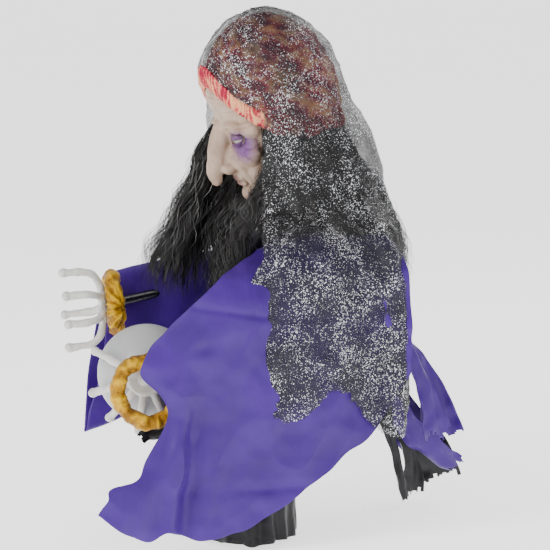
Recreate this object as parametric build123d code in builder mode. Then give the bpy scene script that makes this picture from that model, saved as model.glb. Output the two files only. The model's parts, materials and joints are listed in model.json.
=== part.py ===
"""Animated fortune-telling witch: a bowed half figure on a weighted base and a leaning pole.

The figure faces -Y, its left hand is on the +X side and +Z is up. The figure is drawn about the middle of
its chest, and the finished parts are moved back by CHEST_Y, so that the origin is under the middle of the
base. A geared motor in the chest turns the head on a leaning neck axis, and a second one in the right
shoulder lifts the right arm. Soft goods are plain closed solids that hold the space of the cloth and hair.
All sizes are in millimetres.
"""

import os
from math import acos, cos, pi, radians, sin, sqrt, tan

from build123d import *

os.makedirs("parts", exist_ok=True)

CHEST_Y = 122


def save(builder, name):
    """Moves a finished sub-part from the chest frame to the base frame, labels it and writes its STEP file."""
    builder.part.move(Location((0, CHEST_Y, 0)))
    builder.part.label = name
    export_step(builder.part, f"parts/{name}.step")


def toward(start, end):
    """Plane at start whose Z axis runs to end."""
    return Plane(origin=start, z_dir=Vector(*end) - Vector(*start))


def point_along(start, end, distance):
    """The point that lies distance away from start on the line to end."""
    step = (Vector(*end) - Vector(*start)).normalized() * distance
    return tuple(Vector(*start) + step)


def rod(start, end, radius):
    """A plain round bar from start to end, kept apart from the open builder."""
    length = (Vector(*end) - Vector(*start)).length
    bar = Cylinder(
        radius, length, align=(Align.CENTER, Align.CENTER, Align.MIN), mode=Mode.PRIVATE
    )
    return toward(start, end) * bar


def hollow_rod(start, end, radius, bore, name):
    """A tube with flat ends."""
    length = (Vector(*end) - Vector(*start)).length
    with BuildPart() as tube:
        with BuildSketch(toward(start, end)):
            Circle(radius)
            Circle(bore, mode=Mode.SUBTRACT)
        extrude(amount=length)
    save(tube, name)


# Stand ------------------------------------------------------------------------------------------------

PLATE_HALF_WIDTH, PLATE_HALF_DEPTH, PLATE_THICKNESS = 150, 76, 10
MAT_THICKNESS = 2.5
PLATE_TOP = MAT_THICKNESS + PLATE_THICKNESS
FIT = 0.1
POLE_FOOT, POLE_HEAD = (0, -160, 22), (0, 3, 280)
LOWER_POLE_RADIUS, UPPER_POLE_RADIUS, POLE_WALL = 12.5, 11, 1.4
LOWER_POLE_LENGTH, UPPER_POLE_START = 116, 85
CLAMP_START, CLAMP_END, CLAMP_RADIUS = 104, 130, 18
KNOB_AT, KNOB_X = 123, 26

POLE = toward(POLE_FOOT, POLE_HEAD)
POLE = Plane(origin=POLE.origin, x_dir=(1, 0, 0), z_dir=POLE.z_dir)
POLE_LENGTH = (Vector(*POLE_HEAD) - Vector(*POLE_FOOT)).length

with BuildPart() as base_mat:
    with BuildSketch(Plane.XY):
        with Locations((0, -CHEST_Y)):
            Ellipse(PLATE_HALF_WIDTH - 2, PLATE_HALF_DEPTH - 2)
    extrude(amount=MAT_THICKNESS)
save(base_mat, "base_mat")

with BuildPart() as base_plate:
    with BuildSketch(Plane.XY.offset(MAT_THICKNESS)):
        with Locations((0, -CHEST_Y)):
            Ellipse(PLATE_HALF_WIDTH, PLATE_HALF_DEPTH)
    extrude(amount=PLATE_THICKNESS)
    fillet(base_plate.faces().sort_by(Axis.Z)[-1].edges(), 3)
save(base_plate, "base_plate")


def pole_ring(start, end, outer, inner):
    """A round ring about the leaning pole axis."""
    with BuildPart() as ring:
        with BuildSketch(POLE.offset(start)):
            Circle(outer)
            Circle(inner, mode=Mode.SUBTRACT)
        extrude(amount=end - start)
    return ring.part


with BuildPart() as pole_lower:
    add(pole_ring(0, LOWER_POLE_LENGTH, LOWER_POLE_RADIUS, UPPER_POLE_RADIUS + FIT))
save(pole_lower, "pole_lower")

with BuildPart() as pole_upper:
    add(pole_ring(UPPER_POLE_START, POLE_LENGTH, UPPER_POLE_RADIUS, UPPER_POLE_RADIUS - POLE_WALL))
save(pole_upper, "pole_upper")

KNOB_CENTRE = POLE.from_local_coords((0, 0, KNOB_AT))


def knob_sketch_plane(x):
    """Plane across the clamp screw at this x."""
    return Plane(origin=(x, KNOB_CENTRE.Y, KNOB_CENTRE.Z), x_dir=(0, 1, 0), z_dir=(1, 0, 0))


with BuildPart() as pole_clamp:
    add(pole_ring(CLAMP_START, LOWER_POLE_LENGTH, CLAMP_RADIUS, LOWER_POLE_RADIUS + FIT))
    add(pole_ring(LOWER_POLE_LENGTH, CLAMP_END, CLAMP_RADIUS, UPPER_POLE_RADIUS + FIT))
    with BuildSketch(knob_sketch_plane(UPPER_POLE_RADIUS)):
        Circle(3 + FIT)
    extrude(amount=CLAMP_RADIUS, mode=Mode.SUBTRACT)
save(pole_clamp, "pole_clamp")

with BuildPart() as clamp_knob:
    with BuildSketch(knob_sketch_plane(UPPER_POLE_RADIUS + 2 * FIT)):
        Circle(3)
    extrude(amount=KNOB_X - UPPER_POLE_RADIUS)
    with BuildSketch(knob_sketch_plane(KNOB_X)):
        Circle(13)
        with PolarLocations(15.5, 6):
            Circle(4.5, mode=Mode.SUBTRACT)
    extrude(amount=12)
save(clamp_knob, "clamp_knob")


# Neck frame: Z runs up the leaning neck, Y runs backward, X is the figure's left -----------------------

LEAN = 15
NECK_BASE = (0, 10, 400)
NECK = Plane(origin=NECK_BASE, x_dir=(1, 0, 0), z_dir=(0, -sin(radians(LEAN)), cos(radians(LEAN))))

GEAR_MODULE = 1.25
PRESSURE_ANGLE = 20
BACKLASH = 0.3
HEAD_TEETH, HEAD_PINION_TEETH = 42, 14
ARM_TEETH, ARM_PINION_TEETH = 36, 12
GEAR_THICKNESS = 6


def involute(angle):
    """The involute function of a pressure angle in radians."""
    return tan(angle) - angle


def gear_corners(teeth, phase):
    """Corner points of a spur gear with tooth 0 centred at phase, in degrees."""
    pitch = GEAR_MODULE * teeth / 2
    base = pitch * cos(radians(PRESSURE_ANGLE))
    tip, root = pitch + 0.8 * GEAR_MODULE, pitch - 1.15 * GEAR_MODULE
    half = pi / (2 * teeth) - BACKLASH / (2 * pitch) + involute(radians(PRESSURE_ANGLE))
    start = max(base, root)
    radii = [start + (tip - start) * k / 3 for k in range(4)]
    flank = [(r, half - involute(acos(base / r))) for r in radii]
    if root < base:
        flank.insert(0, (root, half))
    corners = []
    for tooth in range(teeth):
        middle = radians(phase) + 2 * pi * tooth / teeth
        side = [(r, middle - a) for r, a in flank] + [(r, middle + a) for r, a in reversed(flank)]
        corners += [(r * cos(a), r * sin(a)) for r, a in side]
    return corners


def spur_gear(plane, teeth, phase, bore, name):
    """A spur gear that stands on plane, with a round bore."""
    with BuildPart() as gear:
        with BuildSketch(plane):
            with BuildLine():
                Polyline(gear_corners(teeth, phase), close=True)
            make_face()
            Circle(bore, mode=Mode.SUBTRACT)
        extrude(amount=GEAR_THICKNESS)
    save(gear, name)


HEAD_CENTRES = GEAR_MODULE * (HEAD_TEETH + HEAD_PINION_TEETH) / 2
CASE_BOTTOM, CASE_TOP, CASE_WALL = -56, -32, 2.5
LID_TOP = CASE_TOP + 3
HEAD_GEAR_Z = -50
SHAFT_RADIUS, RUNNING = 5, 0.05
BUSH_RADIUS = 9
MOTOR_RADIUS, MOTOR_LENGTH, MOTOR_SHAFT = 12, 36, 1.5
SKULL_CENTRE_Y, SKULL_CENTRE_Z = 12, 262
SKULL_BOTTOM = 158
FLANGE_THICKNESS = 4

spur_gear(NECK.offset(HEAD_GEAR_Z), HEAD_TEETH, 180 / HEAD_TEETH, SHAFT_RADIUS, "head_gear")
pinion_plane = Plane(
    origin=NECK.from_local_coords((HEAD_CENTRES, 0, HEAD_GEAR_Z)), x_dir=NECK.x_dir, z_dir=NECK.z_dir
)
spur_gear(pinion_plane, HEAD_PINION_TEETH, 0, MOTOR_SHAFT + RUNNING, "head_pinion")

with BuildPart() as neck_shaft:
    with BuildSketch(NECK.offset(CASE_BOTTOM + CASE_WALL)):
        Circle(SHAFT_RADIUS)
    extrude(amount=SKULL_BOTTOM - CASE_BOTTOM - CASE_WALL)
    with BuildSketch(NECK.offset(SKULL_BOTTOM - FLANGE_THICKNESS)):
        with Locations((0, SKULL_CENTRE_Y)):
            Ellipse(32, 38)
    extrude(amount=FLANGE_THICKNESS)
    with BuildSketch(NECK.offset(HEAD_GEAR_Z + GEAR_THICKNESS)):
        Circle(SHAFT_RADIUS + 3)
    extrude(amount=4)
save(neck_shaft, "neck_shaft")

CASE_CENTRE_X, CASE_LENGTH, CASE_WIDTH = 9, 86, 68


def case_outline(inset):
    """The gearbox outline in the neck frame, drawn into the current sketch."""
    with Locations((CASE_CENTRE_X, 0)):
        RectangleRounded(CASE_LENGTH - 2 * inset, CASE_WIDTH - 2 * inset, 8 - inset)


with BuildPart() as gearbox_case:
    with BuildSketch(NECK.offset(CASE_BOTTOM)):
        case_outline(0)
    extrude(amount=CASE_TOP - CASE_BOTTOM)
    with BuildSketch(NECK.offset(CASE_BOTTOM + CASE_WALL)):
        case_outline(CASE_WALL)
    extrude(amount=CASE_TOP - CASE_BOTTOM, mode=Mode.SUBTRACT)
    with BuildSketch(NECK.offset(CASE_BOTTOM - 1)):
        with Locations((HEAD_CENTRES, 0)):
            Circle(4)
    extrude(amount=CASE_WALL + 2, mode=Mode.SUBTRACT)
save(gearbox_case, "gearbox_case")

with BuildPart() as gearbox_lid:
    with BuildSketch(NECK.offset(CASE_TOP)):
        case_outline(0)
        Circle(BUSH_RADIUS, mode=Mode.SUBTRACT)
    extrude(amount=LID_TOP - CASE_TOP)
save(gearbox_lid, "gearbox_lid")

with BuildPart() as neck_bush:
    with BuildSketch(NECK.offset(CASE_TOP)):
        Circle(BUSH_RADIUS)
    extrude(amount=LID_TOP - CASE_TOP)
    with BuildSketch(NECK.offset(LID_TOP)):
        Circle(BUSH_RADIUS + 4)
    extrude(amount=6)
    with BuildSketch(NECK.offset(CASE_TOP - 1)):
        Circle(SHAFT_RADIUS + RUNNING)
    extrude(amount=20, mode=Mode.SUBTRACT)
save(neck_bush, "neck_bush")

with BuildPart() as head_motor:
    with BuildSketch(NECK.offset(CASE_BOTTOM)):
        with Locations((HEAD_CENTRES, 0)):
            Circle(MOTOR_RADIUS)
    extrude(amount=-MOTOR_LENGTH)
    with BuildSketch(NECK.offset(CASE_BOTTOM)):
        with Locations((HEAD_CENTRES, 0)):
            Circle(MOTOR_SHAFT)
    extrude(amount=HEAD_GEAR_Z + GEAR_THICKNESS - CASE_BOTTOM)
save(head_motor, "head_motor")


# Chest frame ------------------------------------------------------------------------------------------

SHOULDER_Z = 385
EAR_X, EAR_THICKNESS = 118, 3
PLATE_Z = (290, 330)
PLATE_FRONT, PLATE_BACK = -8, -5

BLOCK_BOTTOM, BLOCK_STEP = 262, 288
with BuildPart() as spine_block:
    with BuildSketch(Plane.YZ.offset(-20)):
        case_slope = tan(radians(LEAN))
        case_front = NECK.from_local_coords((0, -CASE_WIDTH / 2, CASE_BOTTOM))
        with BuildLine():
            Polyline(
                (-26, BLOCK_BOTTOM),
                (24, BLOCK_BOTTOM),
                (45, case_front.Z + (45 - case_front.Y) * case_slope),
                (PLATE_BACK, case_front.Z + (PLATE_BACK - case_front.Y) * case_slope),
                (PLATE_BACK, BLOCK_STEP),
                (-26, BLOCK_STEP),
                close=True,
            )
        make_face()
    extrude(amount=40)
    with BuildSketch(POLE.offset(POLE_LENGTH - 60)):
        Circle(UPPER_POLE_RADIUS + FIT)
    extrude(amount=60 + FIT, mode=Mode.SUBTRACT)
save(spine_block, "spine_block")

BUSH_HOLE = 8
with BuildPart() as shoulder_bracket:
    with BuildSketch(Plane.XZ.offset(-PLATE_BACK)):
        with Locations((0, sum(PLATE_Z) / 2)):
            Rectangle(2 * EAR_X, PLATE_Z[1] - PLATE_Z[0])
    extrude(amount=PLATE_BACK - PLATE_FRONT)
    for ear_start in (EAR_X, -EAR_X - EAR_THICKNESS):
        with BuildSketch(Plane.YZ.offset(ear_start)):
            with Locations((0, (PLATE_Z[0] + SHOULDER_Z + 17) / 2)):
                RectangleRounded(46, SHOULDER_Z + 17 - PLATE_Z[0], 8)
            with Locations((0, SHOULDER_Z)):
                Circle(BUSH_HOLE, mode=Mode.SUBTRACT)
        extrude(amount=EAR_THICKNESS)
save(shoulder_bracket, "shoulder_bracket")

with BuildPart() as shoulder_bush:
    with BuildSketch(Plane.YZ.offset(-EAR_X - 8)):
        with Locations((0, SHOULDER_Z)):
            Circle(BUSH_HOLE)
    extrude(amount=8)
    with BuildSketch(Plane.YZ.offset(-EAR_X)):
        with Locations((0, SHOULDER_Z)):
            Circle(BUSH_HOLE + 4)
    extrude(amount=3)
    with BuildSketch(Plane.YZ.offset(-EAR_X - 10)):
        with Locations((0, SHOULDER_Z)):
            Circle(SHAFT_RADIUS + RUNNING)
    extrude(amount=20, mode=Mode.SUBTRACT)
save(shoulder_bush, "shoulder_bush")

ARM_GEAR_X = -113
ARM_CENTRES = GEAR_MODULE * (ARM_TEETH + ARM_PINION_TEETH) / 2
ARM_HUB_X = (-176, -160)
arm_gear_plane = Plane(origin=(ARM_GEAR_X, 0, SHOULDER_Z), x_dir=(0, 1, 0), z_dir=(1, 0, 0))
spur_gear(arm_gear_plane, ARM_TEETH, 180 / ARM_TEETH, SHAFT_RADIUS, "arm_gear")
arm_pinion_plane = Plane(
    origin=(ARM_GEAR_X, 0, SHOULDER_Z - ARM_CENTRES), x_dir=(0, 1, 0), z_dir=(1, 0, 0)
)
spur_gear(arm_pinion_plane, ARM_PINION_TEETH, 0, MOTOR_SHAFT + RUNNING, "arm_pinion")

with BuildPart() as shoulder_axle_right:
    with BuildSketch(Plane.YZ.offset(ARM_HUB_X[0])):
        with Locations((0, SHOULDER_Z)):
            Circle(SHAFT_RADIUS)
    extrude(amount=ARM_GEAR_X + GEAR_THICKNESS + 3 - ARM_HUB_X[0])
save(shoulder_axle_right, "shoulder_axle_right")

ARM_MOTOR_X = -102
with BuildPart() as arm_motor:
    with BuildSketch(Plane.YZ.offset(ARM_MOTOR_X)):
        with Locations((0, SHOULDER_Z - ARM_CENTRES)):
            Circle(MOTOR_RADIUS)
    extrude(amount=MOTOR_LENGTH)
    with BuildSketch(Plane.YZ.offset(ARM_MOTOR_X)):
        with Locations((0, SHOULDER_Z - ARM_CENTRES)):
            SlotOverall(54, 16)
    extrude(amount=2)
    with BuildSketch(Plane.YZ.offset(-EAR_X)):
        with Locations((-20, SHOULDER_Z - ARM_CENTRES), (20, SHOULDER_Z - ARM_CENTRES)):
            Circle(3)
    extrude(amount=ARM_MOTOR_X + EAR_X)
    with BuildSketch(Plane.YZ.offset(ARM_GEAR_X)):
        with Locations((0, SHOULDER_Z - ARM_CENTRES)):
            Circle(MOTOR_SHAFT)
    extrude(amount=ARM_MOTOR_X - ARM_GEAR_X)
save(arm_motor, "arm_motor")


# Bust shells ------------------------------------------------------------------------------------------

# Height, half width, half depth and middle of each bust section.
BUST_SECTIONS = (
    (150, 112, 84, -8),
    (190, 112, 80, -6),
    (300, 138, 86, 6),
    (380, 149, 80, 1),
    (410, 149, 72, 0),
    (428, 112, 58, 0),
    (440, 52, 52, 0),
)
SHOULDER_SECTIONS = 2
SHELL = 2.5
SEAM_Y = 5
SHELL_BOTTOM = 190
BOSS_PLACES = ((-85, 260), (85, 260), (-75, 408), (75, 408))
BOSS_RADIUS, SCREW_RADIUS, SCREW_HEAD = 6, 2, 4


def bust(grow):
    """The solid bust with its skin moved out by grow. The shoulder tops rise by grow too."""
    rising = len(BUST_SECTIONS) - SHOULDER_SECTIONS
    with BuildPart() as solid:
        for number, (z, half_width, half_depth, middle) in enumerate(BUST_SECTIONS):
            with BuildSketch(Plane.XY.offset(z + (grow if number >= rising else 0))):
                with Locations((0, middle)):
                    Ellipse(half_width + grow, half_depth + grow)
        loft(ruled=True)
    return solid.part


bust_outer, bust_inner = bust(0), bust(-SHELL)
neck_hole = rod(NECK.from_local_coords((0, 0, -20)), NECK.from_local_coords((0, 0, 120)), 24)
seam_to_back = Location((0, SEAM_Y, 300)) * Box(
    600, 300, 800, align=(Align.CENTER, Align.MIN, Align.CENTER)
)
seam_to_front = Location((0, SEAM_Y, 300)) * Box(
    600, 300, 800, align=(Align.CENTER, Align.MAX, Align.CENTER)
)


def bust_half(half_space, name):
    """One moulded half of the bust, with arm holes, a neck hole and the screw bosses."""
    with BuildPart() as shell:
        add(bust_outer)
        add(bust_inner, mode=Mode.SUBTRACT)
        with BuildSketch(Plane.XZ.offset(-100)):
            with Locations(*BOSS_PLACES):
                Circle(BOSS_RADIUS)
        extrude(amount=200)
        add(bust_outer, mode=Mode.INTERSECT)
        add(half_space, mode=Mode.INTERSECT)
        add(neck_hole, mode=Mode.SUBTRACT)
        with BuildSketch(Plane.YZ.offset(-200)):
            with Locations((0, SHOULDER_Z)):
                Circle(18)
        extrude(amount=400, mode=Mode.SUBTRACT)
        split(bisect_by=Plane.XY.offset(SHELL_BOTTOM), keep=Keep.TOP)
        with BuildSketch(Plane.XZ.offset(20)):
            with Locations(*BOSS_PLACES):
                Circle(SCREW_RADIUS + FIT)
        extrude(amount=-150, mode=Mode.SUBTRACT)
        with BuildSketch(Plane.XZ.offset(-30)):
            with Locations(*BOSS_PLACES):
                Circle(SCREW_HEAD + 2 * FIT)
        extrude(amount=-100, mode=Mode.SUBTRACT)
    save(shell, name)


bust_half(seam_to_front, "torso_front")
bust_half(seam_to_back, "torso_back")

with BuildPart() as torso_screws:
    with BuildSketch(Plane.XZ.offset(18)):
        with Locations(*BOSS_PLACES):
            Circle(SCREW_RADIUS)
    extrude(amount=-48)
    with BuildSketch(Plane.XZ.offset(-30)):
        with Locations(*BOSS_PLACES):
            Circle(SCREW_HEAD)
    extrude(amount=-3)
save(torso_screws, "torso_screws")


# Base housing, with the battery bay, the speaker and the controls ---------------------------------------

BOX_HALF_WIDTH, BOX_FRONT, BOX_BACK = 60, -182, -78
BOX_TOP = PLATE_TOP + 44
BAY_HALF_WIDTH, BAY_FRONT, BAY_BOTTOM, BAY_TOP = 39, -120, PLATE_TOP + 4, PLATE_TOP + 40
CELL_RADIUS, CELL_LENGTH, CELL_X = 7.2, 49, -37.5
CELL_ROWS, CELL_LAYERS = (-110, -94), (BAY_BOTTOM + 8, BAY_BOTTOM + 23)
CELL_PLACES = [(y, z) for z in CELL_LAYERS for y in CELL_ROWS]
SPEAKER_X, SPEAKER_Y, SPEAKER_RADIUS = 25, -100, 12
CONTROL_Y, CONTROL_Z, SWITCH_TRAVEL = -100, 36, 6
SIDE_WALL = 3

with BuildPart() as base_housing:
    with BuildSketch(Plane.XY.offset(PLATE_TOP)):
        with Locations((0, (BOX_FRONT + BOX_BACK) / 2)):
            RectangleRounded(2 * BOX_HALF_WIDTH, BOX_BACK - BOX_FRONT, 10)
    extrude(amount=BOX_TOP - PLATE_TOP)
    fillet(base_housing.faces().sort_by(Axis.Z)[-1].edges(), 3)
    with BuildSketch(Plane.XZ.offset(-BAY_FRONT)):
        with Locations((0, (BAY_BOTTOM + BAY_TOP) / 2)):
            Rectangle(2 * BAY_HALF_WIDTH, BAY_TOP - BAY_BOTTOM)
    extrude(amount=BAY_FRONT - BOX_BACK - 1, mode=Mode.SUBTRACT)
    for side in (-1, 1):
        with BuildSketch(Plane.YZ.offset(side * (BAY_HALF_WIDTH + 2))):
            with Locations((CONTROL_Y, CONTROL_Z)):
                Rectangle(22, 26)
        extrude(amount=side * (BOX_HALF_WIDTH - BAY_HALF_WIDTH - 2 - SIDE_WALL), mode=Mode.SUBTRACT)
    with BuildSketch(Plane.YZ.offset(BOX_HALF_WIDTH - SIDE_WALL - 1)):
        with Locations((CONTROL_Y, CONTROL_Z + SWITCH_TRAVEL / 2)):
            Rectangle(4.4, 6 + SWITCH_TRAVEL + 2 * FIT)
    extrude(amount=SIDE_WALL + 2, mode=Mode.SUBTRACT)
    with BuildSketch(Plane.YZ.offset(-BOX_HALF_WIDTH - 1)):
        with Locations((CONTROL_Y, CONTROL_Z)):
            Circle(5 + FIT)
    extrude(amount=SIDE_WALL + 2, mode=Mode.SUBTRACT)
    with BuildSketch(Plane.XY.offset(BAY_TOP - 1)):
        with Locations((SPEAKER_X, SPEAKER_Y)):
            with PolarLocations(7, 7):
                Circle(1.5)
            Circle(1.5)
    extrude(amount=BOX_TOP - BAY_TOP + 2, mode=Mode.SUBTRACT)
    with BuildSketch(POLE):
        Circle(LOWER_POLE_RADIUS + FIT)
    extrude(amount=80, mode=Mode.SUBTRACT)
save(base_housing, "base_housing")

with BuildPart() as speaker:
    with BuildSketch(Plane.XY.offset(BAY_TOP - 9)):
        with Locations((SPEAKER_X, SPEAKER_Y)):
            Circle(SPEAKER_RADIUS)
    extrude(amount=9)
    with BuildSketch(Plane.XY.offset(BAY_TOP - 15)):
        with Locations((SPEAKER_X, SPEAKER_Y)):
            Circle(6)
    extrude(amount=6)
save(speaker, "speaker")

with BuildPart() as battery_cells:
    with BuildSketch(Plane.YZ.offset(CELL_X)):
        with Locations(*CELL_PLACES):
            Circle(CELL_RADIUS)
    extrude(amount=CELL_LENGTH)
    with BuildSketch(Plane.YZ.offset(CELL_X + CELL_LENGTH)):
        with Locations(*CELL_PLACES):
            Circle(2.7)
    extrude(amount=1)
save(battery_cells, "battery_cells")

DOOR_GAP, DOOR_THICKNESS = 0.4, 2
DOOR_MIDDLE_Y, DOOR_HINGE_Z = BOX_BACK + DOOR_GAP + DOOR_THICKNESS / 2, BAY_BOTTOM
with BuildPart() as battery_door:
    with BuildSketch(Plane.XZ.offset(-BOX_BACK - DOOR_GAP)):
        with Locations((0, (DOOR_HINGE_Z + BAY_TOP + 1) / 2)):
            Rectangle(2 * BAY_HALF_WIDTH + 6, BAY_TOP + 1 - DOOR_HINGE_Z)
    extrude(amount=-DOOR_THICKNESS)
    with BuildSketch(Plane.YZ.offset(-BAY_HALF_WIDTH - 3)):
        with Locations((DOOR_MIDDLE_Y, DOOR_HINGE_Z)):
            Circle(DOOR_THICKNESS / 2)
    extrude(amount=2 * BAY_HALF_WIDTH + 6)
    with BuildSketch(Plane.XZ.offset(-BOX_BACK - DOOR_GAP - DOOR_THICKNESS)):
        with Locations((0, BAY_TOP - 4)):
            Rectangle(16, 4)
    extrude(amount=-2)
save(battery_door, "battery_door")

with BuildPart() as mode_switch:
    with BuildSketch(Plane.YZ.offset(BOX_HALF_WIDTH - SIDE_WALL - 3)):
        with Locations((CONTROL_Y, CONTROL_Z)):
            Rectangle(8, 9)
    extrude(amount=3 - FIT)
    with BuildSketch(Plane.YZ.offset(BOX_HALF_WIDTH - SIDE_WALL - FIT)):
        with Locations((CONTROL_Y, CONTROL_Z)):
            Rectangle(4, 6)
    extrude(amount=SIDE_WALL + 2.5)
save(mode_switch, "mode_switch")

BUTTON_PROUD = 3
with BuildPart() as try_button:
    with BuildSketch(Plane.YZ.offset(-BOX_HALF_WIDTH - BUTTON_PROUD)):
        with Locations((CONTROL_Y, CONTROL_Z)):
            Circle(5)
    extrude(amount=SIDE_WALL + BUTTON_PROUD + 1)
    with BuildSketch(Plane.YZ.offset(-BOX_HALF_WIDTH + SIDE_WALL + FIT)):
        with Locations((CONTROL_Y, CONTROL_Z)):
            Circle(7)
    extrude(amount=1.5)
save(try_button, "try_button")


# Head -------------------------------------------------------------------------------------------------

SKULL = (76, 95, 112)
SKULL_WALL = 3
EYE_RADIUS, EYE_X, EYE_FRONT, EYE_Z = 12, 31, 64, 222
JAW = (38, 30, 46)
JAW_FRONT, JAW_Z = 58, 158


def ellipsoid(half_axes, centre):
    """A solid ellipsoid in the neck frame, kept apart from the open builder."""
    ball = Sphere(1, mode=Mode.PRIVATE)
    stretched = scale(ball, by=tuple(float(a) for a in half_axes), mode=Mode.PRIVATE)
    return NECK * Location(centre) * stretched


SKULL_CENTRE = (0, SKULL_CENTRE_Y, SKULL_CENTRE_Z)
skull = ellipsoid(SKULL, SKULL_CENTRE)
skull_inside = ellipsoid(tuple(a - SKULL_WALL for a in SKULL), SKULL_CENTRE)
jaw = ellipsoid(JAW, (0, -JAW_FRONT, JAW_Z))
below_skull = NECK * Location((0, SKULL_CENTRE_Y, SKULL_BOTTOM)) * Cylinder(
    60, 60, align=(Align.CENTER, Align.CENTER, Align.MAX)
)
face_side = NECK * Location((0, SKULL_CENTRE_Y, 250)) * Box(
    400, 300, 500, align=(Align.CENTER, Align.MAX, Align.CENTER)
)
back_side = NECK * Location((0, SKULL_CENTRE_Y, 250)) * Box(
    400, 300, 500, align=(Align.CENTER, Align.MIN, Align.CENTER)
)
# Side view of the hooked nose, as (forward, up) in the neck frame.
NOSE_HALF_WIDTH = 11
NOSE = ((78, 246), (90, 236), (104, 204), (118, 176), (121, 162), (110, 158), (92, 168), (70, 172))

with BuildPart() as face_mask:
    add(skull)
    add(below_skull, mode=Mode.SUBTRACT)
    add(jaw)
    with BuildSketch(Plane(origin=NECK_BASE, x_dir=-NECK.y_dir, z_dir=(1, 0, 0)).offset(-NOSE_HALF_WIDTH)):
        with BuildLine():
            Polyline(NOSE, close=True)
        make_face()
    extrude(amount=2 * NOSE_HALF_WIDTH)
    add(face_side, mode=Mode.INTERSECT)
    add(skull_inside, mode=Mode.SUBTRACT)
    for side in (-1, 1):
        with Locations(Location(NECK.from_local_coords((side * EYE_X, -EYE_FRONT, EYE_Z)))):
            Sphere(EYE_RADIUS + FIT, mode=Mode.SUBTRACT)
save(face_mask, "face_mask")

with BuildPart() as head_back:
    add(skull)
    add(below_skull, mode=Mode.SUBTRACT)
    add(back_side, mode=Mode.INTERSECT)
    add(skull_inside, mode=Mode.SUBTRACT)
save(head_back, "head_back")

for side, eye_name in ((1, "eye_left"), (-1, "eye_right")):
    eye_centre = NECK.from_local_coords((side * EYE_X, -EYE_FRONT, EYE_Z))
    with BuildPart() as eye:
        with Locations(Location(eye_centre)):
            Sphere(EYE_RADIUS)
    save(eye, eye_name)

# The turban, wig and upper veil are shells round the skull, each clear of the one inside it.
TURBAN_IN, TURBAN_OUT = (78, 97, 114), (86, 106, 130)
BAND_TILT, BAND_Z = -32, 232
band_plane = NECK * Location((0, SKULL_CENTRE_Y, BAND_Z), (BAND_TILT, 0, 0))
below_band = band_plane * Box(400, 400, 200, align=(Align.CENTER, Align.CENTER, Align.MAX))
with BuildPart() as turban:
    add(ellipsoid(TURBAN_OUT, SKULL_CENTRE))
    add(ellipsoid(TURBAN_IN, SKULL_CENTRE), mode=Mode.SUBTRACT)
    add(below_band, mode=Mode.SUBTRACT)
save(turban, "turban")

HAIR_BOTTOM = 165
FACE_OPENING_X, FACE_OPENING_FRONT = 64, 25


def hair_ring(outer, inner, bottom, height, opening, opening_y, name):
    """An elliptical curtain round the head, open in front of the face and clear of the turban."""
    with BuildPart() as ring:
        with BuildSketch(NECK.offset(bottom)):
            with Locations((0, SKULL_CENTRE_Y)):
                Ellipse(*outer)
                Ellipse(*inner, mode=Mode.SUBTRACT)
            with Locations((0, opening_y)):
                Rectangle(2 * opening, 300, align=(Align.CENTER, Align.MAX), mode=Mode.SUBTRACT)
        extrude(amount=height)
        add(above_band, mode=Mode.SUBTRACT)
    save(ring, name)


above_band = NECK * Location((0, SKULL_CENTRE_Y, BAND_Z - 2), (BAND_TILT, 0, 0)) * Box(
    400, 400, 300, align=(Align.CENTER, Align.CENTER, Align.MIN)
)
hair_ring((102, 120), (82, 102), HAIR_BOTTOM, 160, FACE_OPENING_X, -FACE_OPENING_FRONT, "wig")

VEIL_IN, VEIL_OUT = (106, 124, 136), (110, 128, 140)
veil_front_cut = NECK * Location((0, -55, 200)) * Box(
    400, 200, 260, align=(Align.CENTER, Align.MAX, Align.CENTER)
)
with BuildPart() as veil_crown:
    add(ellipsoid(VEIL_OUT, SKULL_CENTRE))
    with BuildSketch(NECK.offset(HAIR_BOTTOM)):
        with Locations((0, SKULL_CENTRE_Y)):
            Ellipse(*VEIL_OUT[:2])
    extrude(amount=SKULL_CENTRE_Z - HAIR_BOTTOM)
    add(ellipsoid(VEIL_IN, SKULL_CENTRE), mode=Mode.SUBTRACT)
    with BuildSketch(NECK.offset(HAIR_BOTTOM)):
        with Locations((0, SKULL_CENTRE_Y)):
            Ellipse(*VEIL_IN[:2])
    extrude(amount=SKULL_CENTRE_Z - HAIR_BOTTOM, mode=Mode.SUBTRACT)
    with BuildSketch(NECK.offset(HAIR_BOTTOM)):
        with Locations((0, SKULL_CENTRE_Y)):
            Ellipse(VEIL_OUT[0] + 20, VEIL_OUT[1] + 20)
    extrude(amount=-200, mode=Mode.SUBTRACT)
    add(veil_front_cut, mode=Mode.SUBTRACT)
save(veil_crown, "veil_crown")


# Arms, hands and the lit ball -------------------------------------------------------------------------

BALL_CENTRE, BALL_RADIUS, BALL_WALL = (34, -258, 250), 74, 2
BALL_AXIS = Vector(0.935, -0.332, 0.121).normalized()
PALM_STANDOFF = 84
ARM_RADIUS, ARM_BORE = 7, 5.6
ELBOW_RADIUS, TUBE_INSET = 14, 10
WRIST_BACK, WRIST_RADIUS = 16, 12
FINGER_RADIUS, TIP_RADIUS = 6, 7.4
PALM_RADIUS, PALM_THICKNESS = 30, 8
# Side view of a finger from the middle of the palm, as (outward, forward).
LEFT_FINGER = ((14, 1), (53.4, 20), (74, 44), (84, 50))
RIGHT_FINGER = ((12, -2), (40, 0), (57, 12), (61, 34), (62, 52))
# Round the palm, in degrees.
LEFT_ANGLES = (155, 199, 230, 263, 295)
RIGHT_ANGLES = (20, 90, 166, 207, 250)

left_palm = Vector(*BALL_CENTRE) + BALL_AXIS * PALM_STANDOFF
LEFT_ELBOW, RIGHT_ELBOW = (178, -130, 338), (-184, -130, 336)
right_palm = Vector(-100, -288, 333)
RIGHT_FACING = Vector(-0.25, -0.96, -0.08).normalized()


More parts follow.
